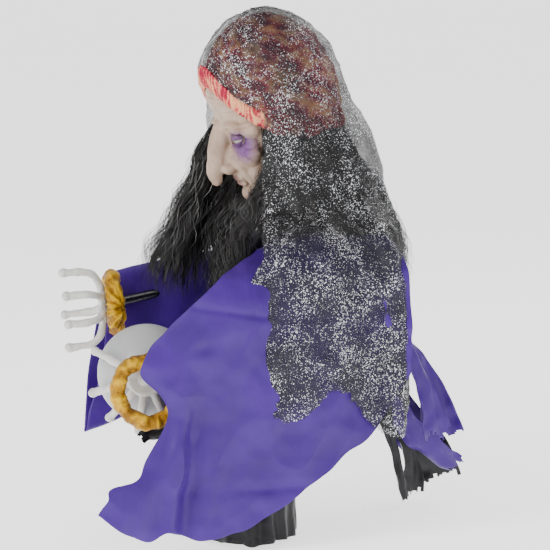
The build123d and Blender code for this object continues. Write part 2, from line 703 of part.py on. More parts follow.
def palm_plane(palm, facing):
    """Plane on the palm that looks along facing, with its X axis level, toward the picture's right."""
    level = Vector(0, 0, 1).cross(-facing)
    return Plane(origin=palm, x_dir=level, z_dir=facing)


def hand(palm, facing, angles, finger, elbow, handed, name):
    """One moulded hand: a domed palm, five hooked fingers and a wrist ball bored for the forearm."""
    plane = palm_plane(palm, facing)
    wrist = palm - facing * WRIST_BACK
    forearm = rod(wrist, elbow, ARM_RADIUS + RUNNING)
    with BuildPart() as moulded:
        with BuildSketch(plane.offset(-PALM_THICKNESS)):
            Circle(PALM_RADIUS - 4)
        with BuildSketch(plane):
            Circle(PALM_RADIUS)
        loft()
        with Locations(Location(wrist)):
            Sphere(WRIST_RADIUS)
        for angle in angles:
            a = radians(angle) * handed
            out = plane.x_dir * cos(a) + plane.y_dir * sin(a)
            points = [palm + out * r + facing * h for r, h in finger]
            with BuildLine() as route:
                Spline(*points)
            with BuildSketch(Plane(origin=points[0], z_dir=route.line % 0)):
                Circle(FINGER_RADIUS)
            sweep(path=route.line)
            with Locations(Location(points[-1])):
                Sphere(TIP_RADIUS)
        add(forearm, mode=Mode.SUBTRACT)
    save(moulded, name)
    return wrist


def arm_tubes(side, shoulder_hub, elbow, wrist):
    """Upper arm, elbow and forearm of one side. The upper arm grows out of its shoulder hub."""
    low, high = shoulder_hub
    shoulder = ((low + high) / 2, 0, SHOULDER_Z)
    with BuildPart() as upper_arm:
        with BuildSketch(Plane.YZ.offset(low)):
            with Locations((0, SHOULDER_Z)):
                Circle(14)
        extrude(amount=high - low)
        add(rod(shoulder, point_along(elbow, shoulder, TUBE_INSET), ARM_RADIUS))
        if side == "right":
            with BuildSketch(Plane.YZ.offset(low)):
                with Locations((0, SHOULDER_Z)):
                    Circle(SHAFT_RADIUS + RUNNING)
            extrude(amount=high - low, mode=Mode.SUBTRACT)
        else:
            with BuildSketch(Plane.YZ.offset(EAR_X + EAR_THICKNESS)):
                with Locations((0, SHOULDER_Z)):
                    Circle(BUSH_HOLE)
            extrude(amount=high - EAR_X - EAR_THICKNESS)
    save(upper_arm, f"upper_arm_{side}")
    with BuildPart() as elbow_joint:
        with Locations(Location(elbow)):
            Sphere(ELBOW_RADIUS)
        for end in (shoulder, wrist):
            socket = rod(point_along(elbow, end, TUBE_INSET - FIT), end, ARM_RADIUS + FIT)
            add(socket, mode=Mode.SUBTRACT)
    save(elbow_joint, f"elbow_{side}")
    hollow_rod(
        point_along(elbow, wrist, TUBE_INSET), tuple(wrist), ARM_RADIUS, ARM_BORE, f"forearm_{side}"
    )


left_wrist = hand(left_palm, -BALL_AXIS, LEFT_ANGLES, LEFT_FINGER, LEFT_ELBOW, -1, "hand_left")
right_wrist = hand(right_palm, RIGHT_FACING, RIGHT_ANGLES, RIGHT_FINGER, RIGHT_ELBOW, 1, "hand_right")
arm_tubes("left", (160, 176), LEFT_ELBOW, left_wrist)
arm_tubes("right", ARM_HUB_X, RIGHT_ELBOW, right_wrist)

# The left cuff lies outside the forearm, toward the elbow. The right one rings its wrist.
LEFT_CUFF_BACK, LEFT_CUFF_SIDE, LEFT_CUFF_RADII = 36, 19, (46, 12)
RIGHT_CUFF_BACK, RIGHT_CUFF_RADII = 22, (40, 12)
left_cuff_plane = palm_plane(left_palm, -BALL_AXIS).offset(-LEFT_CUFF_BACK)
left_cuff_plane = left_cuff_plane.move(Location(left_cuff_plane.x_dir * LEFT_CUFF_SIDE))
right_cuff_plane = palm_plane(right_palm, RIGHT_FACING).offset(-RIGHT_CUFF_BACK)
with BuildPart() as cuff_left:
    with Locations(left_cuff_plane.location):
        Torus(*LEFT_CUFF_RADII)
save(cuff_left, "cuff_left")
with BuildPart() as cuff_right:
    with Locations(right_cuff_plane.location):
        Torus(*RIGHT_CUFF_RADII)
save(cuff_right, "cuff_right")

ball_plane = Plane(origin=BALL_CENTRE, z_dir=BALL_AXIS)


def ball_half(sign, name):
    """Half of the frosted ball. The half by the hand has a boss that stands on the palm."""
    boss = sign > 0
    with BuildPart() as half:
        with Locations(ball_plane.location):
            Sphere(BALL_RADIUS)
        if boss:
            with BuildSketch(ball_plane.offset(BALL_RADIUS - 4)):
                Circle(8)
            extrude(amount=PALM_STANDOFF - BALL_RADIUS + 4)
        with Locations(ball_plane.location):
            Sphere(BALL_RADIUS - BALL_WALL, mode=Mode.SUBTRACT)
        split(bisect_by=ball_plane, keep=Keep.TOP if boss else Keep.BOTTOM)
    save(half, name)


ball_half(1, "ball_shell_near")
ball_half(-1, "ball_shell_far")

LAMP_RADIUS = 20
lamp_height = sqrt((BALL_RADIUS - BALL_WALL) ** 2 - LAMP_RADIUS**2) - 1
with BuildPart() as ball_lamp:
    with BuildSketch(ball_plane.offset(lamp_height)):
        Circle(LAMP_RADIUS)
    extrude(amount=-2)
    with BuildSketch(ball_plane.offset(lamp_height - 2)):
        Circle(5)
    extrude(amount=-5)
    with Locations(ball_plane.offset(lamp_height - 7).location):
        Sphere(5)
    with BuildSketch(ball_plane.offset(lamp_height)):
        Circle(4)
    extrude(amount=BALL_RADIUS - BALL_WALL - lamp_height - 0.3)
save(ball_lamp, "ball_lamp")


# Soft goods -------------------------------------------------------------------------------------------

CLOTH = 3
DRESS_BOTTOM = 150
ARMHOLE_RADIUS = 32
dress_outer, dress_inner = bust(7), bust(7 - CLOTH)

with BuildPart() as dress_body:
    add(dress_outer)
    add(dress_inner, mode=Mode.SUBTRACT)
    add(neck_hole, mode=Mode.SUBTRACT)
    with BuildSketch(Plane.YZ.offset(-220)):
        with Locations((0, SHOULDER_Z)):
            Circle(ARMHOLE_RADIUS)
    extrude(amount=440, mode=Mode.SUBTRACT)
save(dress_body, "dress_body")

# Height, half width, half depth and middle of each section of the skirt.
SKIRT_SECTIONS = ((2, 184, 88, -122), (66, 168, 88, -116), (DRESS_BOTTOM - 2, 126, 84, -28))


def skirt(inset):
    """The solid bell of the skirt with its skin moved in by inset."""
    with BuildPart() as bell:
        for z, half_width, half_depth, middle in SKIRT_SECTIONS:
            with BuildSketch(Plane.XY.offset(z)):
                with Locations((0, middle)):
                    Ellipse(half_width - inset, half_depth - inset)
        loft(ruled=True)
    return bell.part


skirt_outer, skirt_inner = skirt(0), skirt(CLOTH)
with BuildPart() as under_skirt:
    add(skirt_outer)
    add(skirt_inner, mode=Mode.SUBTRACT)
save(under_skirt, "under_skirt")


def outline_prism(outline, low, high):
    """The side outline, as (y, z) corners, pulled along X from low to high."""
    with BuildPart() as prism:
        with BuildSketch(Plane.YZ.offset(low)):
            with BuildLine():
                Polyline(*outline, close=True)
            make_face()
        extrude(amount=high - low)
    return prism.part


# Front view line of the near sleeve, as (x, z), and its side view outline, as (y, z).
CAPE_LINE = ((197, 18), (197, 392), (172, 430), (120, 453), (64, 453))
CAPE_OUTLINE = (
    (-70, 470), (-150, 440), (-250, 380), (-318, 300), (-300, 230), (-330, 150), (-388, 70),
    (-304, 27), (-231, 27), (108, 226), (112, 330), (70, 470),
)
cape_trim = outline_prism(CAPE_OUTLINE, 0, 400)
with BuildPart() as cape_left:
    with BuildSketch(Plane.XZ.offset(-400)):
        with BuildLine() as cape_path:
            Polyline(*CAPE_LINE)
        trace(cape_path.line, line_width=CLOTH)
    extrude(amount=900)
    add(cape_trim, mode=Mode.INTERSECT)
save(cape_left, "cape_left")

# Height, half width and half depth of each section of the veil below the head.
VEIL_SECTIONS = ((150, 216, 130), (440, 212, 130), (520, 120, 128))
VEIL_MIDDLE, VEIL_CORNER = 0, 40
VEIL_FRONT, VEIL_FAR_SIDE, VEIL_TOP = -108, -140, 600
VEIL_HEM = (
    (VEIL_FRONT, VEIL_TOP), (VEIL_FRONT, 190), (-60, 178), (-16, 158), (60, 190), (100, 222),
    (300, 222), (300, VEIL_TOP),
)


def veil_bell(inset):
    """The solid bell under the veil, with its skin moved in by inset."""
    with BuildPart() as bell:
        for z, half_width, half_depth in VEIL_SECTIONS:
            with BuildSketch(Plane.XY.offset(z)):
                with Locations((0, VEIL_MIDDLE)):
                    RectangleRounded(
                        2 * (half_width - inset), 2 * (half_depth - inset), VEIL_CORNER - inset
                    )
        loft(ruled=True)
    return bell.part


veil_outer, veil_inner = veil_bell(0), veil_bell(CLOTH)
veil_trim = outline_prism(VEIL_HEM, VEIL_FAR_SIDE, 300)
with BuildPart() as veil_drape:
    add(veil_outer)
    add(veil_inner, mode=Mode.SUBTRACT)
    add(veil_trim, mode=Mode.INTERSECT)
save(veil_drape, "veil_drape")

HAIR_FALL_BOTTOM, HAIR_FALL_TOP = 95, 160
hair_ring(
    (100, 118), (84, 104), HAIR_FALL_BOTTOM, HAIR_FALL_TOP - HAIR_FALL_BOTTOM, FACE_OPENING_X,
    -FACE_OPENING_FRONT, "hair_fall",
)

RIGHT_SLEEVE_OUTLINE = (
    (-250, 376), (-262, 300), (-317, 140), (-292, 126), (-262, 124), (-225, 150), (-120, 230),
    (-30, 340), (-30, 376),
)
SLEEVE_X, SLEEVE_TOP, SLEEVE_FRONT = -204, 376, -250
with BuildPart() as sleeve_right:
    with BuildSketch(Plane.YZ.offset(SLEEVE_X)):
        with BuildLine():
            Polyline(*RIGHT_SLEEVE_OUTLINE, close=True)
        make_face()
    extrude(amount=CLOTH)
    with BuildSketch(Plane.XY.offset(SLEEVE_TOP - CLOTH)):
        with Locations((SLEEVE_X, SLEEVE_FRONT)):
            Rectangle(74, 150, align=(Align.MIN, Align.MIN))
    extrude(amount=CLOTH)
save(sleeve_right, "sleeve_right")

# Torn strips that hang behind the dress, as side outlines at different x places.
STRIP_OUTLINES = {
    52: ((88, 160), (92, 215), (170, 214), (248, 200), (270, 90), (238, 84), (160, 150)),
    6: ((94, 160), (98, 215), (175, 214), (252, 205), (283, 102), (292, 66), (250, 60), (160, 150)),
    -48: ((88, 160), (92, 215), (170, 214), (226, 170), (240, 60), (222, 26), (150, 150)),
    28: (
        (90, 156), (90, 160), (160, 148), (178, 96), (192, 8), (160, 6), (146, 40), (150, 110), (120, 140),
    ),
    -22: ((92, 156), (92, 160), (180, 140), (214, 90), (262, 30), (222, 12), (196, 50), (150, 130)),
}
with BuildPart() as back_tatters:
    for strip_x, strip in STRIP_OUTLINES.items():
        with BuildSketch(Plane.YZ.offset(strip_x)):
            with BuildLine():
                Polyline(*strip, close=True)
            make_face()
        extrude(amount=CLOTH)
save(back_tatters, "back_tatters")
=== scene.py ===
"""Looks of the animated fortune-telling witch: face, hair, glittered veil, satin robe, hands and ball.

Everything is in metres in the row frame. The figure faces -Y and its left hand is on the +X side.
"""

import json
from math import cos, pi, radians, sin

import bmesh
import bpy
import numpy as np
from mathutils import Matrix, Vector


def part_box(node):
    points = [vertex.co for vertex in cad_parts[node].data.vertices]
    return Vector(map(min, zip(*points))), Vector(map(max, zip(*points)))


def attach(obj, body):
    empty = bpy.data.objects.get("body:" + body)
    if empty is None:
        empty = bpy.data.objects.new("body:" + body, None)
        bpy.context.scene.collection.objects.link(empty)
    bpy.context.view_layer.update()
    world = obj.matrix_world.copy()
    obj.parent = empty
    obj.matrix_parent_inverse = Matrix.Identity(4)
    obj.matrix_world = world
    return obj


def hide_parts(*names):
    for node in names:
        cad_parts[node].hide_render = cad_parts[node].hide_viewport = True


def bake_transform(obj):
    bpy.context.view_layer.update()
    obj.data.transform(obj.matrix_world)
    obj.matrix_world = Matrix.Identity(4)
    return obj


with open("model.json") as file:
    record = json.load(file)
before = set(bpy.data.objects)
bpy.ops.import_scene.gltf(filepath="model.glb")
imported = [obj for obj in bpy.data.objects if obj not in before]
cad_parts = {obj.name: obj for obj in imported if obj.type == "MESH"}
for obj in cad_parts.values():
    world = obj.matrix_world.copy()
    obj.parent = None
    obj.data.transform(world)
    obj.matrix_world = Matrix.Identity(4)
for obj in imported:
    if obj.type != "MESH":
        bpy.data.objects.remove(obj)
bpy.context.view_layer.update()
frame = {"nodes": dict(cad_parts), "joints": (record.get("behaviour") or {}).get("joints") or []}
JOINTS = {joint["name"]: joint for joint in frame["joints"]}
MM = 0.001

# Thickness of the cloths, in metres.
SATIN_THICK, GAUZE_THICK, LAME_THICK = 0.0011, 0.0009, 0.0012

# The chest frame stands over the middle of the chest. Y runs backward and Z up, both in millimetres.
CHEST_Y = JOINTS["right_arm_lift"]["pos_m"][1]
SHOULDER_Z = JOINTS["right_arm_lift"]["pos_m"][2] / MM
# The neck frame: X is the figure's left, F forward and T up the leaning neck, in millimetres.
NECK_BASE = np.array(JOINTS["head_turn"]["pos_m"])
NECK_UP = np.array(JOINTS["head_turn"]["axis"])
NECK_FORWARD = np.array([0.0, -NECK_UP[2], NECK_UP[1]])


def chest(x, y, z):
    """Row-frame points of chest-frame millimetres. Arrays broadcast."""
    x, y, z = np.broadcast_arrays(x, y, z)
    return np.stack([x * MM, y * MM + CHEST_Y, z * MM], axis=-1)


def neck(x, f, t):
    """Row-frame points of neck-frame millimetres. Arrays broadcast."""
    x, f, t = np.broadcast_arrays(np.asarray(x, float), f, t)
    side = np.array([1.0, 0.0, 0.0])
    return NECK_BASE + MM * (x[..., None] * side + f[..., None] * NECK_FORWARD + t[..., None] * NECK_UP)


# Noise and curves ----------------------


def lattice(i, j, k, seed):
    """Repeatable random numbers from 0 to 1 on whole-number points."""
    n = (i * 73856093) ^ (j * 19349663) ^ (k * 83492791) ^ (seed * 2654435)
    n = (n ^ (n >> 13)) * 1274126177
    n = n & 0x7FFFFFFF
    n = (n ^ (n >> 15)) * 668265263
    return ((n & 0xFFFFFF) / 0xFFFFFF).astype(float)


def noise(points, size, seed=0):
    """Smooth noise from -1 to 1 at row-frame points, with lumps of this size in metres."""
    q = np.asarray(points) / size
    base = np.floor(q).astype(np.int64)
    w = q - base
    w = w * w * (3 - 2 * w)
    total = 0.0
    for corner in range(8):
        step = np.array([corner & 1, corner >> 1 & 1, corner >> 2])
        at = base + step
        share = np.prod(np.where(step == 1, w, 1 - w), axis=-1)
        total = total + share * lattice(at[..., 0], at[..., 1], at[..., 2], seed)
    return 2 * total - 1


def smooth(a, b, x):
    """0 below a, 1 above b and an even slope between."""
    t = np.clip((np.asarray(x, float) - a) / (b - a), 0, 1)
    return t * t * (3 - 2 * t)


def along(points, t):
    """Points at t, from 0 to 1, on a smooth line through a few control points."""
    points = np.asarray(points, float)
    steps = np.linalg.norm(np.diff(points, axis=0), axis=1) ** 0.5
    knots = np.concatenate([[0], np.cumsum(steps)]) / steps.sum()
    padded = np.vstack([2 * points[0] - points[1], points, 2 * points[-1] - points[-2]])
    wide = np.concatenate([[2 * knots[0] - knots[1]], knots, [2 * knots[-1] - knots[-2]]])
    t = np.clip(np.asarray(t, float), 0, 1)
    i = np.clip(np.searchsorted(knots, t, side="right") - 1, 0, len(points) - 2)
    p0, p1, p2, p3 = (padded[i + k] for k in range(4))
    t0, t1, t2, t3 = (wide[i + k][..., None] for k in range(4))
    u = t[..., None]
    a1 = (t1 - u) / (t1 - t0) * p0 + (u - t0) / (t1 - t0) * p1
    a2 = (t2 - u) / (t2 - t1) * p1 + (u - t1) / (t2 - t1) * p2
    a3 = (t3 - u) / (t3 - t2) * p2 + (u - t2) / (t3 - t2) * p3
    b1 = (t2 - u) / (t2 - t0) * a1 + (u - t0) / (t2 - t0) * a2
    b2 = (t3 - u) / (t3 - t1) * a2 + (u - t1) / (t3 - t1) * a3
    return (t2 - u) / (t2 - t1) * b1 + (u - t1) / (t2 - t1) * b2


def noise_on(values, size, seed):
    """Smooth noise along a line, at each of its values."""
    return noise(np.stack([values] * 3, axis=-1), size, seed)


def circle(count):
    """Evenly spaced angles round a full turn."""
    return np.linspace(0, 2 * pi, count + 1)[:-1]


# Meshes --------------------------------


def piece(name, points, faces, material, uvs=None):
    """A smooth mesh object from points and faces."""
    mesh = bpy.data.meshes.new(name)
    mesh.from_pydata(np.asarray(points).reshape(-1, 3).tolist(), [], faces)
    mesh.update()
    if uvs is not None:
        layer = mesh.uv_layers.new(name="cloth")
        corner = np.zeros(len(mesh.loops), dtype=np.int32)
        mesh.loops.foreach_get("vertex_index", corner)
        layer.data.foreach_set("uv", np.asarray(uvs, dtype=np.float32).reshape(-1, 2)[corner].ravel())
    mesh.polygons.foreach_set("use_smooth", [True] * len(mesh.polygons))
    obj = bpy.data.objects.new(name, mesh)
    bpy.context.collection.objects.link(obj)
    mesh.materials.append(material)
    return obj


def grid_faces(rows, columns, closed=False):
    """Quads of a grid of points, joined round its columns if closed."""
    last = columns if closed else columns - 1
    faces = []
    for r in range(rows - 1):
        for c in range(last):
            d = (c + 1) % columns
            faces.append((r * columns + c, r * columns + d, (r + 1) * columns + d, (r + 1) * columns + c))
    return faces


def surface(name, points, material, closed=False, keep=None):
    """A grid surface, with its cloth coordinates in metres. keep says which points stay, as a mask."""
    rows, columns = points.shape[:2]
    across = np.linalg.norm(np.diff(points, axis=1), axis=2).mean(axis=0)
    down = np.linalg.norm(np.diff(points, axis=0), axis=2).mean(axis=1)
    u = np.concatenate([[0], np.cumsum(across)])
    v = np.concatenate([[0], np.cumsum(down)])
    uvs = np.stack(np.meshgrid(u, v), axis=-1)
    faces = grid_faces(rows, columns, closed)
    if keep is not None:
        flat = keep.ravel()
        faces = [face for face in faces if all(flat[i] for i in face)]
    obj = piece(name, points, faces, material, uvs)
    if keep is not None:
        work = bmesh.new()
        work.from_mesh(obj.data)
        bmesh.ops.delete(work, geom=[v for v in work.verts if not v.link_faces], context="VERTS")
        work.to_mesh(obj.data)
        work.free()
    return obj


def normals(points):
    """Unit normals of a grid of points."""
    across = np.gradient(points, axis=1)
    down = np.gradient(points, axis=0)
    n = np.cross(across, down)
    return n / (np.linalg.norm(n, axis=2, keepdims=True) + 1e-12)


def modify(obj, kind, **settings):
    """Adds a modifier with these settings and applies it."""
    modifier = obj.modifiers.new(kind, kind)
    for key, value in settings.items():
        setattr(modifier, key, value)
    bpy.context.view_layer.objects.active = obj
    bpy.ops.object.modifier_apply(modifier=modifier.name)


def mark_crease_shading(obj, height):
    """Stores how raised each point of the cloth is, for its material, which paints raised creases gold as a
    highlight and hollows dark as shade.
    """
    layer = obj.data.attributes.new("crease", "FLOAT", "POINT")
    layer.data.foreach_set("value", np.clip(height, 0, 1).astype(np.float32).ravel())


def join(name, parts):
    """Joins several objects into the first one."""
    bpy.ops.object.select_all(action="DESELECT")
    for part in parts:
        part.select_set(True)
    bpy.context.view_layer.objects.active = parts[0]
    bpy.ops.object.join()
    parts[0].name = name
    return parts[0]


def coordinates(obj):
    """An object's vertex places as an array."""
    out = np.zeros(len(obj.data.vertices) * 3)
    obj.data.vertices.foreach_get("co", out)
    return out.reshape(-1, 3)


def vertex_normals(obj):
    """An object's vertex normals as an array."""
    out = np.zeros(len(obj.data.vertices) * 3)
    obj.data.vertices.foreach_get("normal", out)
    return out.reshape(-1, 3)


def place(obj, points):
    """Sets an object's vertex places."""
    obj.data.vertices.foreach_set("co", np.asarray(points).ravel())
    obj.data.update()


# Materials -----------------------------


class Shader:
    """A material built from nodes, with its Principled shader ready."""

    def __init__(self, name, **settings):
        self.material = bpy.data.materials.new(name)
        self.material.use_nodes = True
        self.tree = self.material.node_tree
        self.tree.nodes.clear()
        self.output = self.tree.nodes.new("ShaderNodeOutputMaterial")
        self.bsdf = self.add("BsdfPrincipled", **settings)
        self.link(self.bsdf, "BSDF", self.output, "Surface")

    def add(self, kind, **settings):
        """A node. Settings that name an input set its value, and others set a property."""
        node = self.tree.nodes.new("ShaderNode" + kind)
        for key, value in settings.items():
            label = key.replace("_", " ").title() if key[0].islower() else key
            found = [s for s in node.inputs if s.name.lower() == label.lower()]
            if hasattr(node, key) and not found:
                setattr(node, key, value)
            else:
                found[0].default_value = value
        return node

    def link(self, a, out, b, into):
        """Joins an output of node a to an input of node b."""
        self.tree.links.new(a.outputs[out], b.inputs[into])

    def space(self, uv=False, scale=(1, 1, 1)):
        """Coordinates on the cloth or in the object, in metres times scale."""
        where = self.add("TexCoord")
        mapping = self.add("Mapping")
        mapping.inputs["Scale"].default_value = scale
        self.link(where, "UV" if uv else "Object", mapping, "Vector")
        return mapping

    def noise(self, size, detail=3.0, rough=0.55, stretch=(1, 1, 1)):
        """Noise with lumps of about this size in metres."""
        node = self.add("TexNoise", detail=detail, roughness=rough)
        node.inputs["Scale"].default_value = 1 / size
        self.link(self.space(scale=stretch), "Vector", node, "Vector")
        return node

    def ramp(self, source, out, stops):
        """A colour ramp of (position, colour) stops."""
        node = self.add("ValToRGB")
        elements = node.color_ramp.elements
        while len(elements) < len(stops):
            elements.new(0.5)
        for element, (position, colour) in zip(elements, stops):
            element.position = position
            element.color = (*colour, 1) if len(colour) == 3 else (colour[0],) * 3 + (1,)
        self.link(source, out, node, "Fac")
        return node

    def mix(self, factor, a, b, blend="MIX"):
        """Mixes two colours. factor, a and b are (node, output) pairs or plain values."""
        node = self.add("Mix", data_type="RGBA")
        node.blend_type = blend
        for index, value in ((0, factor), (6, a), (7, b)):
            if isinstance(value, tuple) and isinstance(value[0], bpy.types.Node):
                self.tree.links.new(value[0].outputs[value[1]], node.inputs[index])
            elif index == 0:
                node.inputs[0].default_value = value
            else:
                node.inputs[index].default_value = (*value, 1)
        return node

    def math(self, operation, a, b=0.0):
        """A maths node on (node, output) pairs or numbers."""
        node = self.add("Math")
        node.operation = operation
        for index, value in enumerate((a, b)):
            if isinstance(value, tuple):
                self.tree.links.new(value[0].outputs[value[1]], node.inputs[index])
            else:
                node.inputs[index].default_value = value
        return node

    def colour(self, node, out="Color"):
        """Feeds the base colour."""
        self.link(node, out, self.bsdf, "Base Color")

    def bump(self, node, out, strength, distance, before=None):
        """A bump that feeds the Principled shader, stacked on an earlier one."""
        bump = self.add("Bump", strength=strength, distance=distance)
        self.link(node, out, bump, "Height")
        if before is not None:
            self.link(before, "Normal", bump, "Normal")
        self.link(bump, "Normal", self.bsdf, "Normal")
        return bump


def two_tone(shader, size, dark, light):
    """Colours the shader with soft noise between two tones."""
    shader.colour(shader.ramp(shader.noise(size, 4.0), "Fac", ((0.3, dark), (0.7, light))))


# A wave texture of scale 1 has this many radians in one unit.
WAVES_PER_UNIT = 20


def weave(shader, pitch, strength, before=None):
    """A plain weave bump of two crossed thread directions, pitch metres apart."""
    height = None
    for turn in (0, pi / 2):
        wave = shader.add("TexWave", distortion=0.4, detail=1.0)
        wave.inputs["Scale"].default_value = 1 / pitch / WAVES_PER_UNIT * 2 * pi
        turned = shader.space(uv=True)
        turned.inputs["Rotation"].default_value = (0, 0, turn)
        shader.link(turned, "Vector", wave, "Vector")
        height = wave if height is None else shader.math("MAXIMUM", (height, "Fac"), (wave, "Fac"))
    return shader.bump(height, "Value", strength, 0.0002, before)


def satin(name, dark, light, creases=0.5):
    """Smooth costume satin, with fine creases and a soft sheen."""
    s = Shader(name, roughness=0.42, sheen_weight=0.06, sheen_roughness=0.4)
    two_tone(s, 0.09, dark, light)
    s.bsdf.inputs["Specular IOR Level"].default_value = 0.35
    crease = s.noise(0.035, 5.0, 0.6, stretch=(1, 1, 0.6))
    first = s.bump(crease, "Fac", creases, 0.004)
    fine = s.noise(0.006, 3.0)
    second = s.bump(fine, "Fac", 0.12, 0.0006, first)
    weave(s, 0.0006, 0.25, second)
    rough = s.ramp(s.noise(0.02), "Fac", ((0.3, (0.36,)), (0.7, (0.5,))))
    s.link(rough, "Color", s.bsdf, "Roughness")
    return s.material


def lame(name, deep, bright, gold, share, sheer=0.0):
    """Crinkled metallic fabric, coloured by how raised its creases are: painted gold as a highlight on the raised
    creases and painted dark as shade in the hollows, over the cloth's own tones. sheer is how much light it lets
    through.
    """
    s = Shader(name, roughness=0.36, metallic=0.6)
    # Crease height plus random noise picks the colour: the deep tone is painted shade in the hollows and the gold
    # is a painted highlight on the ridges.
    crease_highlight_height = s.add("Attribute", attribute_name="crease")
    spread = s.math("ADD", (crease_highlight_height, "Fac"), (s.noise(0.03, 3.0), "Fac"))
    spread = s.math("ADD", (spread, "Value"), (s.noise(0.003, 4.0, 0.7), "Fac"))
    level = s.math("DIVIDE", (spread, "Value"), 3.0)
    edge = 0.5 - 0.12 * (share - 0.5) * 4
    stops = ((edge - 0.12, deep), (edge - 0.03, bright), (edge + 0.07, gold))
    s.colour(s.ramp(level, "Value", stops))
    crinkle = s.noise(0.0045, 5.0, 0.7, stretch=(1, 1, 1.6))
    first = s.bump(crinkle, "Fac", 0.8, 0.003)
    weave(s, 0.0008, 0.3, first)
    if sheer:
        s.bsdf.inputs["Alpha"].default_value = 1 - sheer
    return s.material


def tulle(name, cover):
    """Black net with two sizes of silver glitter dots, which glow a little as a painted glint. cover is how much
    of the light the net stops.
    """
    s = Shader(name, roughness=0.55)
    clumps = s.ramp(s.noise(0.045, 4.0, 0.6), "Fac", ((0.34, (0.30,)), (0.60, (1.0,))))
    dot, dot_tone_and_glint = None, None
    for scale, reach, few in ((380, 0.44, 0.62), (620, 0.60, 0.34)):
        cells = s.add("TexVoronoi")
        cells.inputs["Scale"].default_value = scale
        s.link(s.space(), "Vector", cells, "Vector")
        split = s.add("SeparateColor")
        s.link(cells, "Color", split, "Color")
        size = s.math("MULTIPLY", (split, "Red"), reach)
        size = s.math("MULTIPLY", (size, "Value"), (clumps, "Color"))
        inside = s.math("LESS_THAN", (cells, "Distance"), (size, "Value"))
        chosen = s.math("GREATER_THAN", (split, "Green"), few)
        here = s.math("MULTIPLY", (inside, "Value"), (chosen, "Value"))
        dot = here if dot is None else s.math("MAXIMUM", (dot, "Value"), (here, "Value"))
        dot_tone_and_glint = dot_tone_and_glint or s.ramp(split, "Blue", ((0.0, (0.30, 0.31, 0.33)), (1.0, (0.95, 0.95, 0.98))))
    s.colour(s.mix((dot, "Value"), (0.006, 0.006, 0.007), (dot_tone_and_glint, "Color")), "Result")
    s.link(dot, "Value", s.bsdf, "Metallic")
    # The glitter dots glow in their own tone: a painted glint on the dots.
    s.link(s.mix((dot, "Value"), (0.0, 0.0, 0.0), (dot_tone_and_glint, "Color")), "Result", s.bsdf, "Emission Color")
    s.bsdf.inputs["Emission Strength"].default_value = 0.30
    threads = s.ramp(s.noise(0.0012, 1.0), "Fac", ((0.40, (cover * 0.55,)), (0.60, (cover * 1.25,))))
    layers = s.ramp(s.noise(0.05, 2.0), "Fac", ((0.3, (cover * 0.6,)), (0.7, (cover * 1.3,))))
    folds = s.mix(0.5, (threads, "Color"), (layers, "Color"))
    s.link(s.math("MAXIMUM", (folds, "Result"), (dot, "Value")), "Value", s.bsdf, "Alpha")
    return s.material


def plastic(name, colour, roughness=0.5, grain=0.15, metallic=0.0):
    """Moulded plastic or painted metal with a fine grain and faint handling marks."""
    s = Shader(name, metallic=metallic)
    dark = tuple(0.8 * c for c in colour)
    two_tone(s, 0.03, dark, colour)
    s.bump(s.noise(0.0008, 2.0), "Fac", grain, 0.0002)
    shiny, dull = roughness * 0.8, min(1, roughness * 1.2)
    marks = s.ramp(s.noise(0.012, 6.0), "Fac", ((0.35, (shiny,)), (0.7, (dull,))))
    s.link(marks, "Color", s.bsdf, "Roughness")
    return s.material


def brushed(name, colour):
    """Metal with fine brush lines."""
    s = Shader(name, metallic=1.0)
    lines = s.noise(0.004, 5.0, stretch=(1, 40, 40))
    s.colour(s.ramp(lines, "Fac", ((0.3, tuple(0.75 * c for c in colour)), (0.7, colour))))
    s.link(s.ramp(lines, "Fac", ((0.3, (0.25,)), (0.7, (0.42,)))), "Color", s.bsdf, "Roughness")
    s.bump(lines, "Fac", 0.15, 0.0002)
    return s.material


def hair_material():
    """Glossy black synthetic hair."""
    s = Shader("hair", roughness=0.38)
    strand = s.noise(0.004, 2.0, stretch=(1, 1, 0.08))
    s.colour(s.ramp(strand, "Fac", ((0.35, (0.004, 0.0035, 0.0035)), (0.75, (0.022, 0.018, 0.016)))))
    s.bsdf.inputs["Specular IOR Level"].default_value = 0.6
    s.bsdf.inputs["Anisotropic"].default_value = 0.5
    s.bump(strand, "Fac", 0.3, 0.0005)
    return s.material


def skin_material(make_up_and_shade_spots):
    """Latex skin with mottling, age spots, make-up and painted shade. The spots are (place, reach, tint, share):
    purple eye shadow and red lips as make-up, a near-black tint round each eye as painted shade in the socket and
    a brown tint under the chin as painted shadow.
    """
    s = Shader("latex_skin", roughness=0.5, subsurface_weight=0.12)
    s.bsdf.inputs["Subsurface Radius"].default_value = (0.9, 0.35, 0.2)
    s.bsdf.inputs["Subsurface Scale"].default_value = 0.004
    mottle = s.noise(0.03, 5.0)
    base = s.ramp(mottle, "Fac", ((0.25, (0.30, 0.185, 0.125)), (0.55, (0.47, 0.34, 0.255)),
                                  (0.8, (0.56, 0.43, 0.34))))
    spots = s.ramp(s.noise(0.006, 2.0), "Fac", ((0.66, (0.0,)), (0.74, (0.35,))))
    colour = s.mix((spots, "Color"), (base, "Color"), (0.30, 0.17, 0.10))
    where = s.add("TexCoord")
    grain = s.noise(0.007, 3.0)
    for centre, reach, tint, share in make_up_and_shade_spots:
        away = s.add("VectorMath")
        away.operation = "DISTANCE"
        away.inputs[1].default_value = tuple(centre)
        s.link(where, "Object", away, 0)
        rough_edge = s.math("MULTIPLY", (grain, "Fac"), 0.35 * reach)
        far = s.math("ADD", (away, "Value"), (rough_edge, "Value"))
        scaled = s.math("DIVIDE", (far, "Value"), reach)
        mask = s.ramp(scaled, "Value", ((0.55, (share,)), (1.0, (0.0,))))
        colour = s.mix((mask, "Color"), (colour, "Result"), tint)
    s.colour(colour, "Result")
    pores = s.bump(s.noise(0.0016, 2.0), "Fac", 0.2, 0.0004)
    s.bump(s.noise(0.01, 4.0), "Fac", 0.3, 0.001, pores)
    return s.material


IRIS_REACH = 0.012


